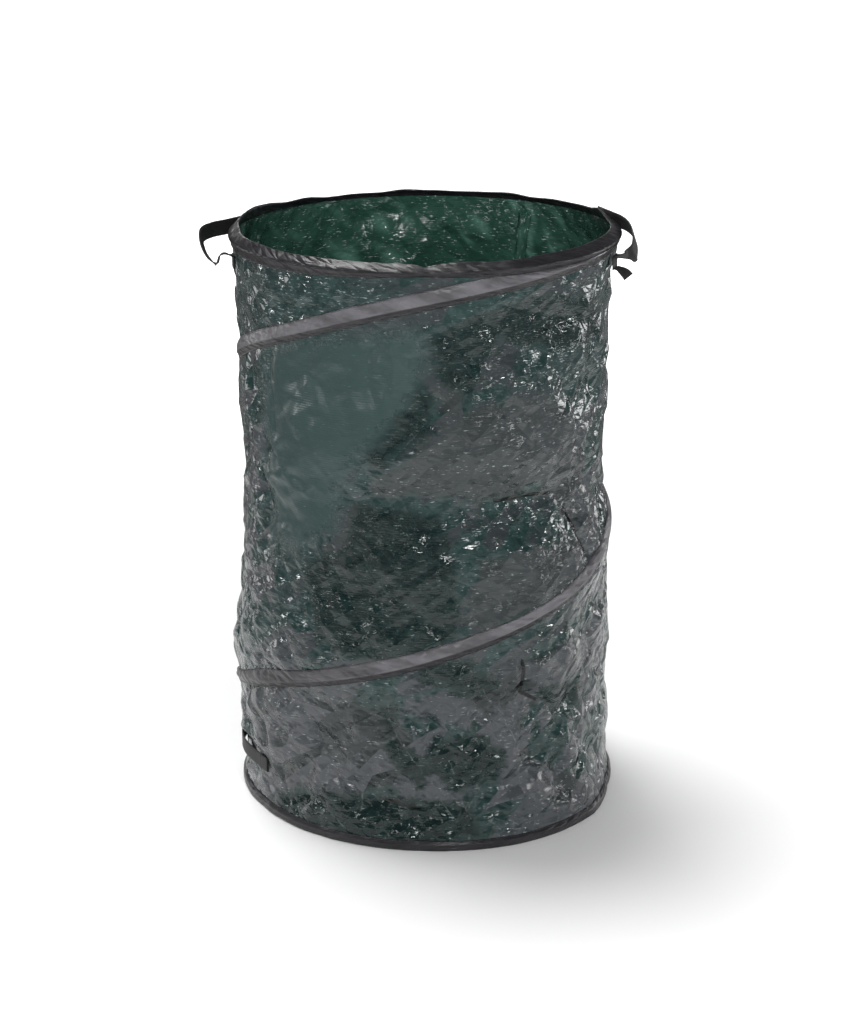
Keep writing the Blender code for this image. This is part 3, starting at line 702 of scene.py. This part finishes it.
coat = coated_weave()
tube = skin("fabric_tube", from_seam(tube_rows), coat, joined=True, hollow=True)
inner_grid = lining(angle_grid, height_grid)
# Low down and at the sides the sheen is paler, a painted reflection of the floor and of grazing light, and the relief
# is deeper
low_side_sheen_grid = np.clip(ease((0.30 - height_grid) / 0.16) + np.abs(np.cos(np.radians(angle_grid))) ** 4, 0, 1)
marks = {"crest": crest_grid, "fresh": inner_grid, "low_side_sheen": low_side_sheen_grid * (1 - inner_grid),
         "tuck_shade": tuck_shade_at(angle_grid, height_grid)}
for name, outlines, over in (
    ("chalked", SHEEN_OUTLINES, -2), ("crinkled", CRINKLED, 2), ("tealed", TEALED, -2), ("taut", TAUT, -2)
):
    marks[name] = look(outlines, angle_grid, height_grid) + over * LOOK_DEPTH * inner_grid
mark(tube, **{name: from_seam(grid) for name, grid in marks.items()})
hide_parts("wall_panel")
fold_flat(tube)


# The floor of the bag
# A disc of the same fabric, sewn in by the base tape. It lies on the ground, slightly rumpled, with nothing to
# stiffen it, and its seen face is the fresh green of the inside.
FLOOR_EDGE = 0.2444
FLOOR_FLAT = 0.235
RINGS = 40
SPOKES = 160
INNER_FACE = {"crest": 0, "fresh": 1, "low_side_sheen": 0, "tuck_shade": 0, "chalked": -LOOK_DEPTH, "crinkled": LOOK_DEPTH,
              "tealed": -LOOK_DEPTH, "taut": -LOOK_DEPTH}

floor_angle, floor_reach = np.meshgrid(np.arange(SPOKES) * 360 / SPOKES, np.linspace(0.004, 1, RINGS), indexing="ij")
rumple = 0.0012 * (patchy(51, 12, 6, floor_angle, floor_reach * TUBE_TOP) + 1) * (1 - floor_reach**6)
floor_rise = 0.0006 + rumple + 0.0009 * ease((floor_reach * FLOOR_EDGE - FLOOR_FLAT) / 0.004)
floor_edge = FLOOR_EDGE + spread_at(floor_angle)
disc_rows = on_bag(floor_angle, floor_reach * floor_edge, floor_rise)[:, ::-1]
disc = skin("fabric_floor", disc_rows, coat, joined=True, hollow=True)
mark(disc, **INNER_FACE)
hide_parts("base_panel")
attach(disc, "base")


# The rim tape
# Woven grey tape folded over the fabric's upper edge and sewn through, with the rim hoop in its outer pocket. The
# hem above the hoop is not stiff, so it leans in, frills, and is notched where two lengths meet at the front.
TAPE_THICK = 0.0006
TAPE_GAP = 0.0004
RIB_RISE = 0.00004
HEM_TOP = 0.7549
RIM_LIPS = ((0, 0.0088), (60, 0.0088), (80, 0.0060), (90, 0.0048), (100, 0.0062), (120, 0.0098), (145, 0.0115),
            (160, 0.0122), (180, 0.0120), (200, 0.0095), (360, 0.0088))
THREAD = 0.0005
STITCH_PITCH = 0.0048
STITCH_LONG = 0.68 * STITCH_PITCH


def grey_tape(name, dark, light, crease, under=None):
    """Satin woven tape: fine ribs along it, and slanting wrinkles with painted shade in their folds. The strip up to
    under from its first edge faces down and is painted dark, as its shade."""
    made, tree, shader = plain_material(name)
    lay = laid(tree)
    ribs = yarns(lay, 330.0, 0.4, 1.0)
    slanted = leant(lay, 0.40, 0.034, 0.009)
    fold = fold_edges(slanted)
    soft = noise(slanted, 0.5, 3.0)
    wrinkle = noise(leant(lay, 0.03, 0.080, 0.0045), 1.0, 4.0, 0.6, 0.4, ridged=True)
    slant = noise(leant(lay, 0.50, 0.022, 0.005), 1.0, 3.0, ridged=True)
    folded = times(ranged(slant, 0.50, 0.80), ranged(soft, 0.46, 0.56))
    # Painted shade in the wrinkles' folds, with blotches of random tone
    fold_shade_and_tone = most(ranged(wrinkle, 0.48, 0.80), folded, ranged(soft, 0.60, 0.25, 0.0, 0.7))
    colour = mixed(fold_shade_and_tone, light, dark)
    if under:
        # Painted shade over the tape's marked lower turn
        colour = mixed(times(marked(tree, "dull"), 0.85), colour, dark)
        across = add(tree, "ShaderNodeSeparateXYZ", {"Vector": lay}).outputs["Y"]
        underside_shade = tuple(0.8 * c for c in dark[:3]) + (1,)
        colour = mixed(ranged(across, under - 0.002, under), underside_shade, colour)
    height = less(times(ribs, RIB_RISE), times(wrinkle, 0.3 * crease))
    height = plus(less(height, times(slant, 0.25 * crease)), times(fold, crease))
    fill(shader, {"Base Color": colour, "Roughness": 0.36, "Normal": relief(height)})
    return made


def thread_finish():
    made, tree, shader = plain_material("grey_thread")
    twist = noise(add(tree, "ShaderNodeTexCoord").outputs["Object"], 900.0, 2.0)
    colour = mixed(twist, (0.030, 0.028, 0.032, 1), (0.085, 0.080, 0.088, 1))
    fill(shader, {"Base Color": colour, "Roughness": 0.6})
    return made


tape_finish = grey_tape("dark_satin_tape", (0.004, 0.004, 0.005, 1), (0.016, 0.015, 0.018, 1), 0.0020)
sewing_thread = thread_finish()


def unit(rows):
    """The same directions, 1 long."""
    return rows / np.linalg.norm(rows, axis=-1, keepdims=True)


def stitches(name, line, out):
    """A row of short stitches along a line of points, each with the direction that faces out there."""
    run = np.concatenate([[0], np.cumsum(np.linalg.norm(np.diff(line, axis=0), axis=1))])
    points, faces = [], []
    for start in np.arange(0.002, run[-1] - STITCH_PITCH, STITCH_PITCH):
        ahead = np.array([np.interp(start + STITCH_PITCH, run, column) for column in line.T])
        base = len(points)
        for share in (0, 0.22, 0.78, 1):
            place = start + share * STITCH_LONG
            middle, away = (np.array([np.interp(place, run, column) for column in rows.T]) for rows in (line, out))
            side = unit(np.cross(away, ahead - middle)) * THREAD / 2
            points += [middle + side, middle + away * (THREAD if 0 < share < 1 else 0), middle - side]
        faces += [[base + 3 * k + j + corner for corner in (0, 1, 4, 3)] for k in range(3) for j in range(2)]
    mesh = bpy.data.meshes.new(name)
    mesh.from_pydata([tuple(p) for p in points], [], faces)
    return placed(name, mesh, sewing_thread)


def around_bag(angle, outline):
    """Rows of a band round the bag, through an outline of radii and heights at each angle."""
    return np.stack([on_bag(angle, radius, height) for radius, height in outline], 1)


def rim_rows(angle):
    """The rim tape's outline at each angle: up its outer leg, over the hem and down its inner leg."""
    lean, sag = rim_lean(angle)
    lip = RIM_WIRE - np.interp(angle, *zip(*RIM_LIPS))
    wave = 0.0006 * frilled(33, 57, angle)
    flat = tube_at(angle, lip) + TAPE_GAP
    legs = [
        (flat, lip),
        (flat + 0.0006, lip + 0.0016),
        (0.2486 + wave, RIM_WIRE - 0.0032),
        (0.2500 + wave / 2, RIM_WIRE - 0.0016),
        (0.2504 + wave / 2, RIM_WIRE),
        (0.2499 + wave / 2, RIM_WIRE + 0.0017),
        (0.2482 - 0.10 * lean, RIM_WIRE + 0.0034),
        (0.2478 - 0.35 * lean + wave, RIM_WIRE + 0.0054 + 0.3 * sag),
        (0.2474 - 0.70 * lean + wave, RIM_WIRE + 0.0076 + 0.7 * sag),
        (0.2472 - lean, HEM_TOP + sag - 0.0004),
    ]
    outside = [(r + TAPE_THICK, z) for r, z in legs]
    over = [(0.2466 - lean, HEM_TOP + sag + 0.0003), (0.2450 - lean, HEM_TOP + sag - 0.0002)]
    inside = [
        (0.2446 - 0.75 * lean, RIM_WIRE + 0.0070 + 0.7 * sag),
        (0.2447 - 0.30 * lean, RIM_WIRE + 0.0046),
        (0.2448, RIM_WIRE + 0.0015),
        (0.2446, RIM_WIRE - 0.0015),
    ]
    back = [(r + TAPE_THICK, z) for r, z in inside[::-1]]
    return around_bag(angle, outside + over + inside + back + legs[::-1])


def row_of_stitches(name, rows, first, second, share, angles):
    """Stitches that lie on a tape, part of the way from one line of its outline to the next."""
    line = rows[:, first] * (1 - share) + rows[:, second] * share
    return stitches(name, line, on_bag(angles, 1.0, 0.0))


rim_angles = np.arange(541) * 360 / 540
rim_tape = skin("rim_tape", rim_rows(rim_angles[:-1]), tape_finish, joined=True)
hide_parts("rim_binding")
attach(rim_tape, "rim")
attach(row_of_stitches("rim_stitches", rim_rows(rim_angles), 1, 2, 0.15, rim_angles), "rim")


# The spiral tape
# A 25 mm band of the same tape sewn over the spiral, wider above the wire than below it. The wire makes a ridge
# along it, the upper slope wrinkles between its two seams and the lower one is drawn tight.
TAPE_BELOW = 0.0085
SPIRAL_UPPER = ((0, 0.0165), (190, 0.0165), (330, 0.0150), (380, 0.0110), (420, 0.0125), (470, 0.0165), (510, 0.0165),
                (530, 0.0080), (545, 0.0060), (600, 0.0150), (720, 0.0165))
SPIRAL_START = 9.0
SPIRAL_END = 711.0

# The band's rise across it, from its lower edge at -1 over the wire at 0 to its upper edge at 1
SPIRAL_RISES = ((-1, 0.0006), (-0.72, 0.0011), (-0.40, 0.0024), (-0.18, 0.0036), (0, 0.0042), (0.12, 0.0039),
                (0.30, 0.0031), (0.50, 0.0027), (0.70, 0.0024), (0.88, 0.0013), (1, 0.0006))

# It carries painted shade from this angle on, where the photograph shows its lower turn, and wholly so this much
# further
SHADE_FROM = 455
SHADE_OVER = 45


def spiral_rows(angle):
    """The spiral tape's outline at each angle, which runs to 720."""
    middle = wire_height(angle / 360)
    edge = 0.0007 * frilled(61, 90, angle / 2)
    top = np.minimum(middle + np.interp(angle, *zip(*SPIRAL_UPPER)) + edge, RIM_WIRE - 0.0070)
    foot = np.maximum(middle - TAPE_BELOW - edge / 2, 0.0090)
    slant = 0.0012 * frilled(62, 140, angle / 2) + 0.0007 * frilled(63, 260, angle / 2)
    plain = bag_radius(angle, middle)
    outside = []
    for share, rise in SPIRAL_RISES:
        height = middle + ((top - middle) if share >= 0 else (middle - foot)) * share
        seat = tube_at(angle, height)
        near = ease(1 - abs(share) / 0.35)
        wave = slant * math.sin(math.pi * abs(share)) * (1.6 if share > 0 else 0.3)
        outside.append(((seat + rise + wave) * (1 - near) + np.maximum(plain + rise, seat + 0.001) * near, height))
    return around_bag(angle, outside + [(r - TAPE_THICK, z) for r, z in outside[::-1]])


spiral_finish = grey_tape("grey_satin_tape", (0.020, 0.019, 0.022, 1), (0.128, 0.124, 0.135, 1), 0.0022, under=0.0098)
spiral_angles = np.linspace(SPIRAL_START, SPIRAL_END, 1100)
spiral_tape_rows = spiral_rows(spiral_angles)
spiral_tape = skin("spiral_tape", spiral_tape_rows, spiral_finish)
mark(spiral_tape, dull=np.repeat(ease((spiral_angles - SHADE_FROM) / SHADE_OVER), spiral_tape_rows.shape[1]))
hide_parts("spiral_binding")
fold_flat(spiral_tape)
fold_flat(row_of_stitches("spiral_upper_stitches", spiral_tape_rows, 9, 10, 0.3, spiral_angles))
fold_flat(row_of_stitches("spiral_lower_stitches", spiral_tape_rows, 1, 0, 0.2, spiral_angles))


# The base tape
# The same tape round the base hoop. Its lower leg lies under the edge of the floor and carries the bag.
BASE_LIP = 0.0122
BASE_TOE = 0.2370


def base_rows(angle):
    """The base tape's outline at each angle: down its outer leg, under the hoop and the floor, and back up."""
    wave = 0.0003 * frilled(71, 70, angle) + spread_at(angle)
    lip = BASE_LIP + 0.0005 * frilled(72, 36, angle)
    flat = tube_at(angle, lip) + TAPE_GAP
    return around_bag(angle, [
        (flat, lip), (flat + 0.0006, lip - 0.0006), (0.2486 + wave, 0.0098), (0.2500 + wave, 0.0084),
        (0.2502 + wave, 0.0070), (0.2497 + wave, 0.0056), (0.2503 + wave, 0.0044), (0.2506 + wave, 0.0026),
        (0.2502 + wave, 0.0009), (0.2488 + wave, 0.0), (BASE_TOE + wave, 0.0), (BASE_TOE + wave, 0.0005),
        (0.2470 + wave, 0.0006), (0.2494 + wave, 0.0014), (0.2496 + wave, 0.0030), (0.2492 + wave, 0.0070),
        (0.2480 + wave, 0.0092), (flat - 0.0002, lip - 0.0016),
    ])


base_angles = np.arange(481) * 360 / 480
base_tape = skin("base_tape", base_rows(base_angles[:-1]), tape_finish, joined=True)
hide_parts("base_binding")
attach(base_tape, "base")
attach(row_of_stitches("base_stitches", base_rows(base_angles), 1, 2, 0.1, base_angles), "base")


# The side seam
# A strip of the fabric inside the tube, over the raw edges where the sheet is sewn into a round.
SEAM_ANGLE = 303.75
SEAM_HALF = 2.2
SEAM_GAP = 0.0010

seam_angle, seam_height = np.meshgrid(
    SEAM_ANGLE + np.linspace(-SEAM_HALF, SEAM_HALF, 5), np.linspace(0.018, 0.7270, 150), indexing="xy"
)
seam_radii = tube_at(seam_angle, seam_height) - SEAM_GAP
near_side = on_bag(seam_angle, seam_radii, seam_height)
far_side = on_bag(seam_angle, seam_radii - TAPE_THICK, seam_height)
seam = skin("side_seam", np.concatenate([near_side, far_side[:, ::-1]], 1), coat)
mark(seam, **INNER_FACE)
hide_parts("side_seam_tape")
fold_flat(seam)


# The crimped sleeves
# Two soft metal sleeves pressed on to the laps of wire that close the hoops. They stay as the part has them.
sleeve_finish = bare_metal("crimped_sleeve_metal", (400, 400, 400), (0.42, 0.42, 0.43, 1), (0.68, 0.68, 0.69, 1),
                           0.4, 0.0003, 0.5)
for name in ("rim_ferrule", "base_ferrule"):
    wear_finish(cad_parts[name], sleeve_finish)


# The rim handles
# Loops of 20 mm black webbing. The front end of each hangs upright below the rim tape and the rear end lies level
# along it, so the loop twists a quarter turn on its way round. The right one's loose end sticks out past its seam.
WEBBING_WIDE = 0.020
WEBBING_THICK = 0.0016
WEBBING_ROUND = 0.0004
SEWN_HALF = 0.009
SEAT = 0.0003
RIM_LIP = 0.7366
RIM_OUTER = 0.2504

# Each end as its angle and how far it lies below the tape's lip, or for a rear end below the hoop
LEFT_FRONT, LEFT_REAR = (168.75, 0.0105), (203.0, 0.0045)
RIGHT_FRONT, RIGHT_REAR = (19.5, 0.005), (-23.0, 0)

# The loops' routes in rows of (share of the way along, out, up, turn, tip), out and up as shares of the reach
LEFT_LOOP = (
    (0, 0, 0, 0, 0), (0, .10, .03, .10, 0), (0, .28, .09, .20, 0), (0, .42, .02, .22, 0), (-.01, .49, -.16, .20, 0),
    (-.02, .57, -.23, .20, .05), (0, .75, -.10, .22, .20), (.06, .91, .16, .35, .22), (.15, .97, .40, .62, .20),
    (.28, .94, .53, .90, .08), (.50, .70, .50, 1, 0), (.70, .35, .455, 1, 0), (.90, .10, .437, 1, 0),
)
RIGHT_LOOP = (
    (0, 0, 0, 0, 0), (0, .12, 0, 0, 0), (0, .42, .04, .05, 0), (.01, .72, .05, .15, -.05), (.05, .90, .02, .40, -.15),
    (.13, .92, .20, .80, -.20), (.32, .74, .52, .90, -.20), (.50, .52, .78, .90, -.20), (.66, .28, .87, .90, -.18),
    (.82, .06, .82, .95, -.10), (.92, 0, .77, 1, 0),
)
TAIL_ROUTE = (
    (0, 0, 0, 0, 0), (0, .14, -.04, 0, 0), (0, .36, -.16, .15, 0), (0, .54, -.30, .28, 0), (0, .68, -.46, .35, 0),
)


def black_webbing():
    """Ribbed polypropylene webbing, matt, with a lighter nap on the ribs."""
    made, tree, shader = plain_material("black_webbing")
    lay = laid(tree)
    knit = times(yarns(lay, 190.0, 1.2, 2.0, across="X"), yarns(lay, 150.0, 0.8, 1.0))
    colour = mixed(knit, (0.008, 0.008, 0.009, 1), (0.030, 0.030, 0.032, 1))
    fill(shader, {"Base Color": colour, "Roughness": 0.62, "Normal": relief(knit, 0.0003, 0.7)})
    return made


webbing = black_webbing()


def strap_route(front, rear, radius, height, reach, shares):
    """Rows of (point, outward, turn, tip) along a strap."""
    rows = []
    for along, out, up, turned, tipped in shares:
        angle = front + (rear - front) * along
        place = on_bag(angle, radius + reach * out, height + reach * up)
        rows.append((*place, *on_bag(angle, 1.0, 0.0), turned, tipped))
    return rows


def strap(name, rows, steps=8):
    """Webbing with rounded edges along smooth rows. Its width runs round the bag at turn 0, upright at turn 1 and
    outwards at tip 1."""
    rows = np.array(rows)
    ends = np.concatenate([rows[:1], rows, rows[-1:]])
    fine = [
        glide(a, (b - before) / 2, b, (after - a) / 2, t)
        for before, a, b, after in zip(ends, ends[1:], ends[2:], ends[3:])
        for t in np.arange(steps) / steps
    ]
    fine = np.array([*fine, rows[-1]])
    middle, outward = fine[:, :3], unit(fine[:, 3:6])
    turned, tipped = fine[:, 6:7] * math.pi / 2, fine[:, 7:] * math.pi / 2
    ahead = unit(np.gradient(middle, axis=0))
    across = np.cross(UP, outward) * np.cos(turned) + UP * np.sin(turned)
    across = across * np.cos(tipped) + outward * np.sin(tipped)
    across = unit(across - ahead * (across * ahead).sum(axis=1, keepdims=True))
    face = np.cross(ahead, across)
    half, thick = WEBBING_WIDE / 2, WEBBING_THICK / 2
    outline = [(WEBBING_ROUND - half, thick), (-half / 2, thick), (0, thick * 0.94), (half / 2, thick),
               (half - WEBBING_ROUND, thick), (half, thick * 0.5), (half, -thick * 0.5)]
    wide, high = np.array(outline + [(-x, -y) for x, y in outline]).T[:, :, None]
    return skin(name, middle[:, None] + (across[:, None] * wide + face[:, None] * high), webbing)


def sewn_end(name, angle, radius, height, upright, node, body):
    """A webbing end sewn down flat, its stitched square slightly sunk."""
    out, side = on_bag(angle, 1.0, 0.0), on_bag(angle + 90, 1.0, 0.0)
    across, along = (side, UP) if upright else (UP, side)
    across, along = across * WEBBING_WIDE / 2, along * SEWN_HALF
    sections = []
    for v in np.linspace(-1, 1, 13):
        outline = []
        for u in np.linspace(-1, 1, 15):
            sunk = 0.0002 * (abs(abs(u) - 0.8) < 0.06 or abs(abs(v) - 0.78) < 0.06)
            outline.append((u, WEBBING_THICK - sunk - WEBBING_ROUND * max(abs(u) ** 14, abs(v) ** 14)))
        outline += [(1, 0), (-1, 0)]
        sections.append([out * (radius + h) + across * u + along * v + UP * height for u, h in outline])
    piece = skin(name, sections, webbing)
    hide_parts(node)
    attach(piece, body)
    return piece


def past_end(angle, radius, towards):
    """The angle just past a level end, on the side that the loop goes to."""
    return angle + math.copysign(math.degrees((SEWN_HALF + SEAT) / radius), towards - angle)


def swing_from(piece):
    """The piece, with its placing baked into its mesh."""
    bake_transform(piece)


def rim_handle(side, front, rear, seat, reach, shares):
    """A rim handle from its front end, on the wall at the seat's radius, round to its rear end on the hoop."""
    top, rear_height = RIM_LIP - SEAT - front[1], RIM_WIRE - rear[1]
    rear_radius = RIM_OUTER + SEAT + WEBBING_THICK / 2
    edge = past_end(rear[0], rear_radius, front[0])
    rows = strap_route(front[0], edge, seat + WEBBING_THICK + SEAT, top - WEBBING_THICK, reach, shares)
    rows.append((*on_bag(edge, rear_radius, rear_height), *on_bag(edge, 1.0, 0.0), 1.0, 0.0))
    loop = strap(side + "_carry_loop", rows)
    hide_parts(side + "_handle")
    swing_from(loop)
    sewn_end(side + "_loop_front_end", front[0], seat, top - SEWN_HALF, True, side + "_handle_front_end", "rim")
    sewn_end(side + "_loop_rear_end", rear[0], RIM_OUTER + SEAT, rear_height, False, side + "_handle_rear_end", "rim")


rim_handle("left", LEFT_FRONT, LEFT_REAR, 0.24586, 0.0375, LEFT_LOOP)
rim_handle("right", RIGHT_FRONT, RIGHT_REAR, RIM_OUTER + SEAT, 0.020, RIGHT_LOOP)
tail_seat = RIM_OUTER + SEAT + 1.5 * WEBBING_THICK
tail_top = RIM_LIP - SEAT - RIGHT_FRONT[1] - 2 * SEWN_HALF + WEBBING_THICK
tail = strap("right_loose_end", strap_route(RIGHT_FRONT[0], RIGHT_FRONT[0], tail_seat, tail_top, 0.024, TAIL_ROUTE))
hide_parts("right_handle_tail")
swing_from(tail)


# The lower grab handle
# A short loop of the same webbing, level and close to the wall near the base, to hold when the bag is tipped out.
LOWER_LOOP = (
    (0, 0, 0, 1, 0), (.08, .03, 0, 1, 0), (.22, .45, .08, 1, 0), (.38, .90, .20, 1, 0), (.52, 1, .28, 1, 0),
    (.66, .90, .20, 1, 0), (.80, .45, .08, 1, 0), (.92, .03, 0, 1, 0), (1, 0, 0, 1, 0),
)
LOWER_FRONT, LOWER_REAR = 151.0, 185.0
LOWER_SEAT = 0.24447
LOWER_HEIGHT = 0.0595

lower_radius = LOWER_SEAT + WEBBING_THICK / 2
lower_edges = past_end(LOWER_FRONT, lower_radius, LOWER_REAR), past_end(LOWER_REAR, lower_radius, LOWER_FRONT)
grab = strap("lower_grab_loop", strap_route(*lower_edges, lower_radius, LOWER_HEIGHT, 0.006, LOWER_LOOP))
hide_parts("lower_handle")
swing_from(grab)
for end, angle in (("front", LOWER_FRONT), ("rear", LOWER_REAR)):
    sewn_end("lower_loop_" + end + "_end", angle, LOWER_SEAT, LOWER_HEIGHT, False,
             "lower_handle_" + end + "_end", "lower_handle_ends")


# The studio
# The camera stands 3.2 m in front of the bag and looks down a little. The floor is white, with a soft shadow to
# the right.
CAMERA_PLACE = (0, -3.16, 1.402)
PITCH, ROLL, YAW = 18.13, -0.28, 0.11
FOCAL_PIXELS, PICTURE_HEIGHT, FILM = 2513, 1024, 36
GROUND_SIZE = 80
GROUND_GAP = 0.0004
GROUND_WHITE = (0.9, 0.9, 0.9, 1)
GLOSS_GREY = (0.16, 0.16, 0.16, 1)
WORLD_FILL = 0.05

camera = bpy.data.objects.new("camera", bpy.data.cameras.new("camera"))
camera.data.sensor_fit = "VERTICAL"
camera.data.sensor_height = FILM
camera.data.lens = FOCAL_PIXELS / PICTURE_HEIGHT * FILM
camera.matrix_world = (
    Matrix.Translation(CAMERA_PLACE)
    @ Matrix.Rotation(math.radians(YAW), 4, "Z")
    @ Matrix.Rotation(math.radians(90 - PITCH), 4, "X")
    @ Matrix.Rotation(math.radians(ROLL), 4, "Z")
)
bpy.context.scene.collection.objects.link(camera)
bpy.context.scene.camera = camera

corners = [(GROUND_SIZE / 2 * x, GROUND_SIZE / 2 * y, 0) for x, y in ((-1, -1), (1, -1), (1, 1), (-1, 1))]
ground_mesh = bpy.data.meshes.new("ground")
ground_mesh.from_pydata(corners, [], [range(4)])
ground = bpy.data.objects.new("ground", ground_mesh)
ground.location.z = -GROUND_GAP
bpy.context.scene.collection.objects.link(ground)

# White to the camera further away, and grey there in the fabric's gloss
ground_finish, tree, shader = plain_material("white_ground")
ray = add(tree, "ShaderNodeLightPath").outputs
place = add(tree, "ShaderNodeTexCoord").outputs["Object"]
spread = add(tree, "ShaderNodeVectorMath", {0: place}, operation="LENGTH").outputs["Value"]
beyond = times(ranged(spread, 0.55, 1.5), ray["Is Glossy Ray"])
seen = most(ray["Is Camera Ray"], ray["Is Glossy Ray"], ray["Is Transmission Ray"])
lift = times(times(seen, ranged(spread, 0.7, 3.0, 0.0, 0.75)), less(1.0, beyond))
fill(shader, {"Base Color": mixed(beyond, GROUND_WHITE, GLOSS_GREY), "Roughness": 1.0, "Specular IOR Level": 0.0,
              "Emission Color": (1, 1, 1, 1), "Emission Strength": lift})
wear_finish(ground, ground_finish)

world = bpy.data.worlds.new("studio")
bpy.context.scene.world = world
world.use_nodes = True
tree = world.node_tree
tree.nodes.clear()
ray = add(tree, "ShaderNodeLightPath").outputs
aim = add(tree, "ShaderNodeTexCoord").outputs["Generated"]
rise = add(tree, "ShaderNodeSeparateXYZ", {"Vector": aim}).outputs["Z"]
glossy = times(ranged(rise, 0.02, 0.16, 1.0, 0.05), ray["Is Glossy Ray"])
plain = times(ray["Is Diffuse Ray"], WORLD_FILL)
strength = most(ray["Is Camera Ray"], ray["Is Transmission Ray"], glossy, plain)
back = add(tree, "ShaderNodeBackground", {"Color": (1, 1, 1, 1), "Strength": strength})
add(tree, "ShaderNodeOutputWorld", {"Surface": back.outputs["Background"]})


def lamp(name, kind, energy, place, aim=(0, 0, 0.4), **settings):
    """A lamp aimed at a point, the middle of the bag unless it is given."""
    made = bpy.data.objects.new(name, bpy.data.lights.new(name, kind))
    made.data.energy = energy
    for key, value in settings.items():
        setattr(made.data, key, value)
    made.location = place
    made.rotation_euler = (Vector(aim) - Vector(place)).to_track_quat("-Z", "Y").to_euler()
    bpy.context.scene.collection.objects.link(made)
    return made


lamp("window", "SUN", 2.80, (-1.00, 1.30, 4.50), angle=math.radians(30))
front = lamp("front_softbox", "AREA", 42, (0.1, -3.3, 0.9), shape="RECTANGLE", size=1.1, size_y=1.1)
for name, energy, size, place in (
    ("left_spot", 5, 0.22, (-2.0, -2.3, 1.1)), ("right_spot", 6, 0.22, (2.1, -2.2, 1.0)),
    ("high_spot", 18, 0.22, (0.4, -2.0, 2.2)), ("back_spot", 6, 0.22, (-0.6, 2.8, 1.2)),
    ("far_left_spot", 9, 0.22, (-3.0, -0.7, 0.9)), ("far_right_spot", 10, 0.22, (3.0, -0.6, 0.8)),
    ("rear_left_light", 6, 0.90, (-2.6, 1.5, 0.5)), ("rear_right_light", 12, 0.90, (2.6, 1.4, 0.5)),
):
    lamp(name, "AREA", energy, place, shape="DISK", size=size)
inner = lamp("into_the_bag", "SPOT", 70, (0, -0.9, 1.9), aim=(0, 0.2, 0.6), spot_size=math.radians(19),
             spot_blend=0.5, shadow_soft_size=0.06)
rear = lamp("back_softbox", "AREA", 22, (0.9, 3.2, 1.1), shape="RECTANGLE", size=1.2, size_y=0.8)
front.visible_glossy = rear.visible_glossy = inner.visible_glossy = False

bpy.context.scene.view_settings.view_transform = "Standard"
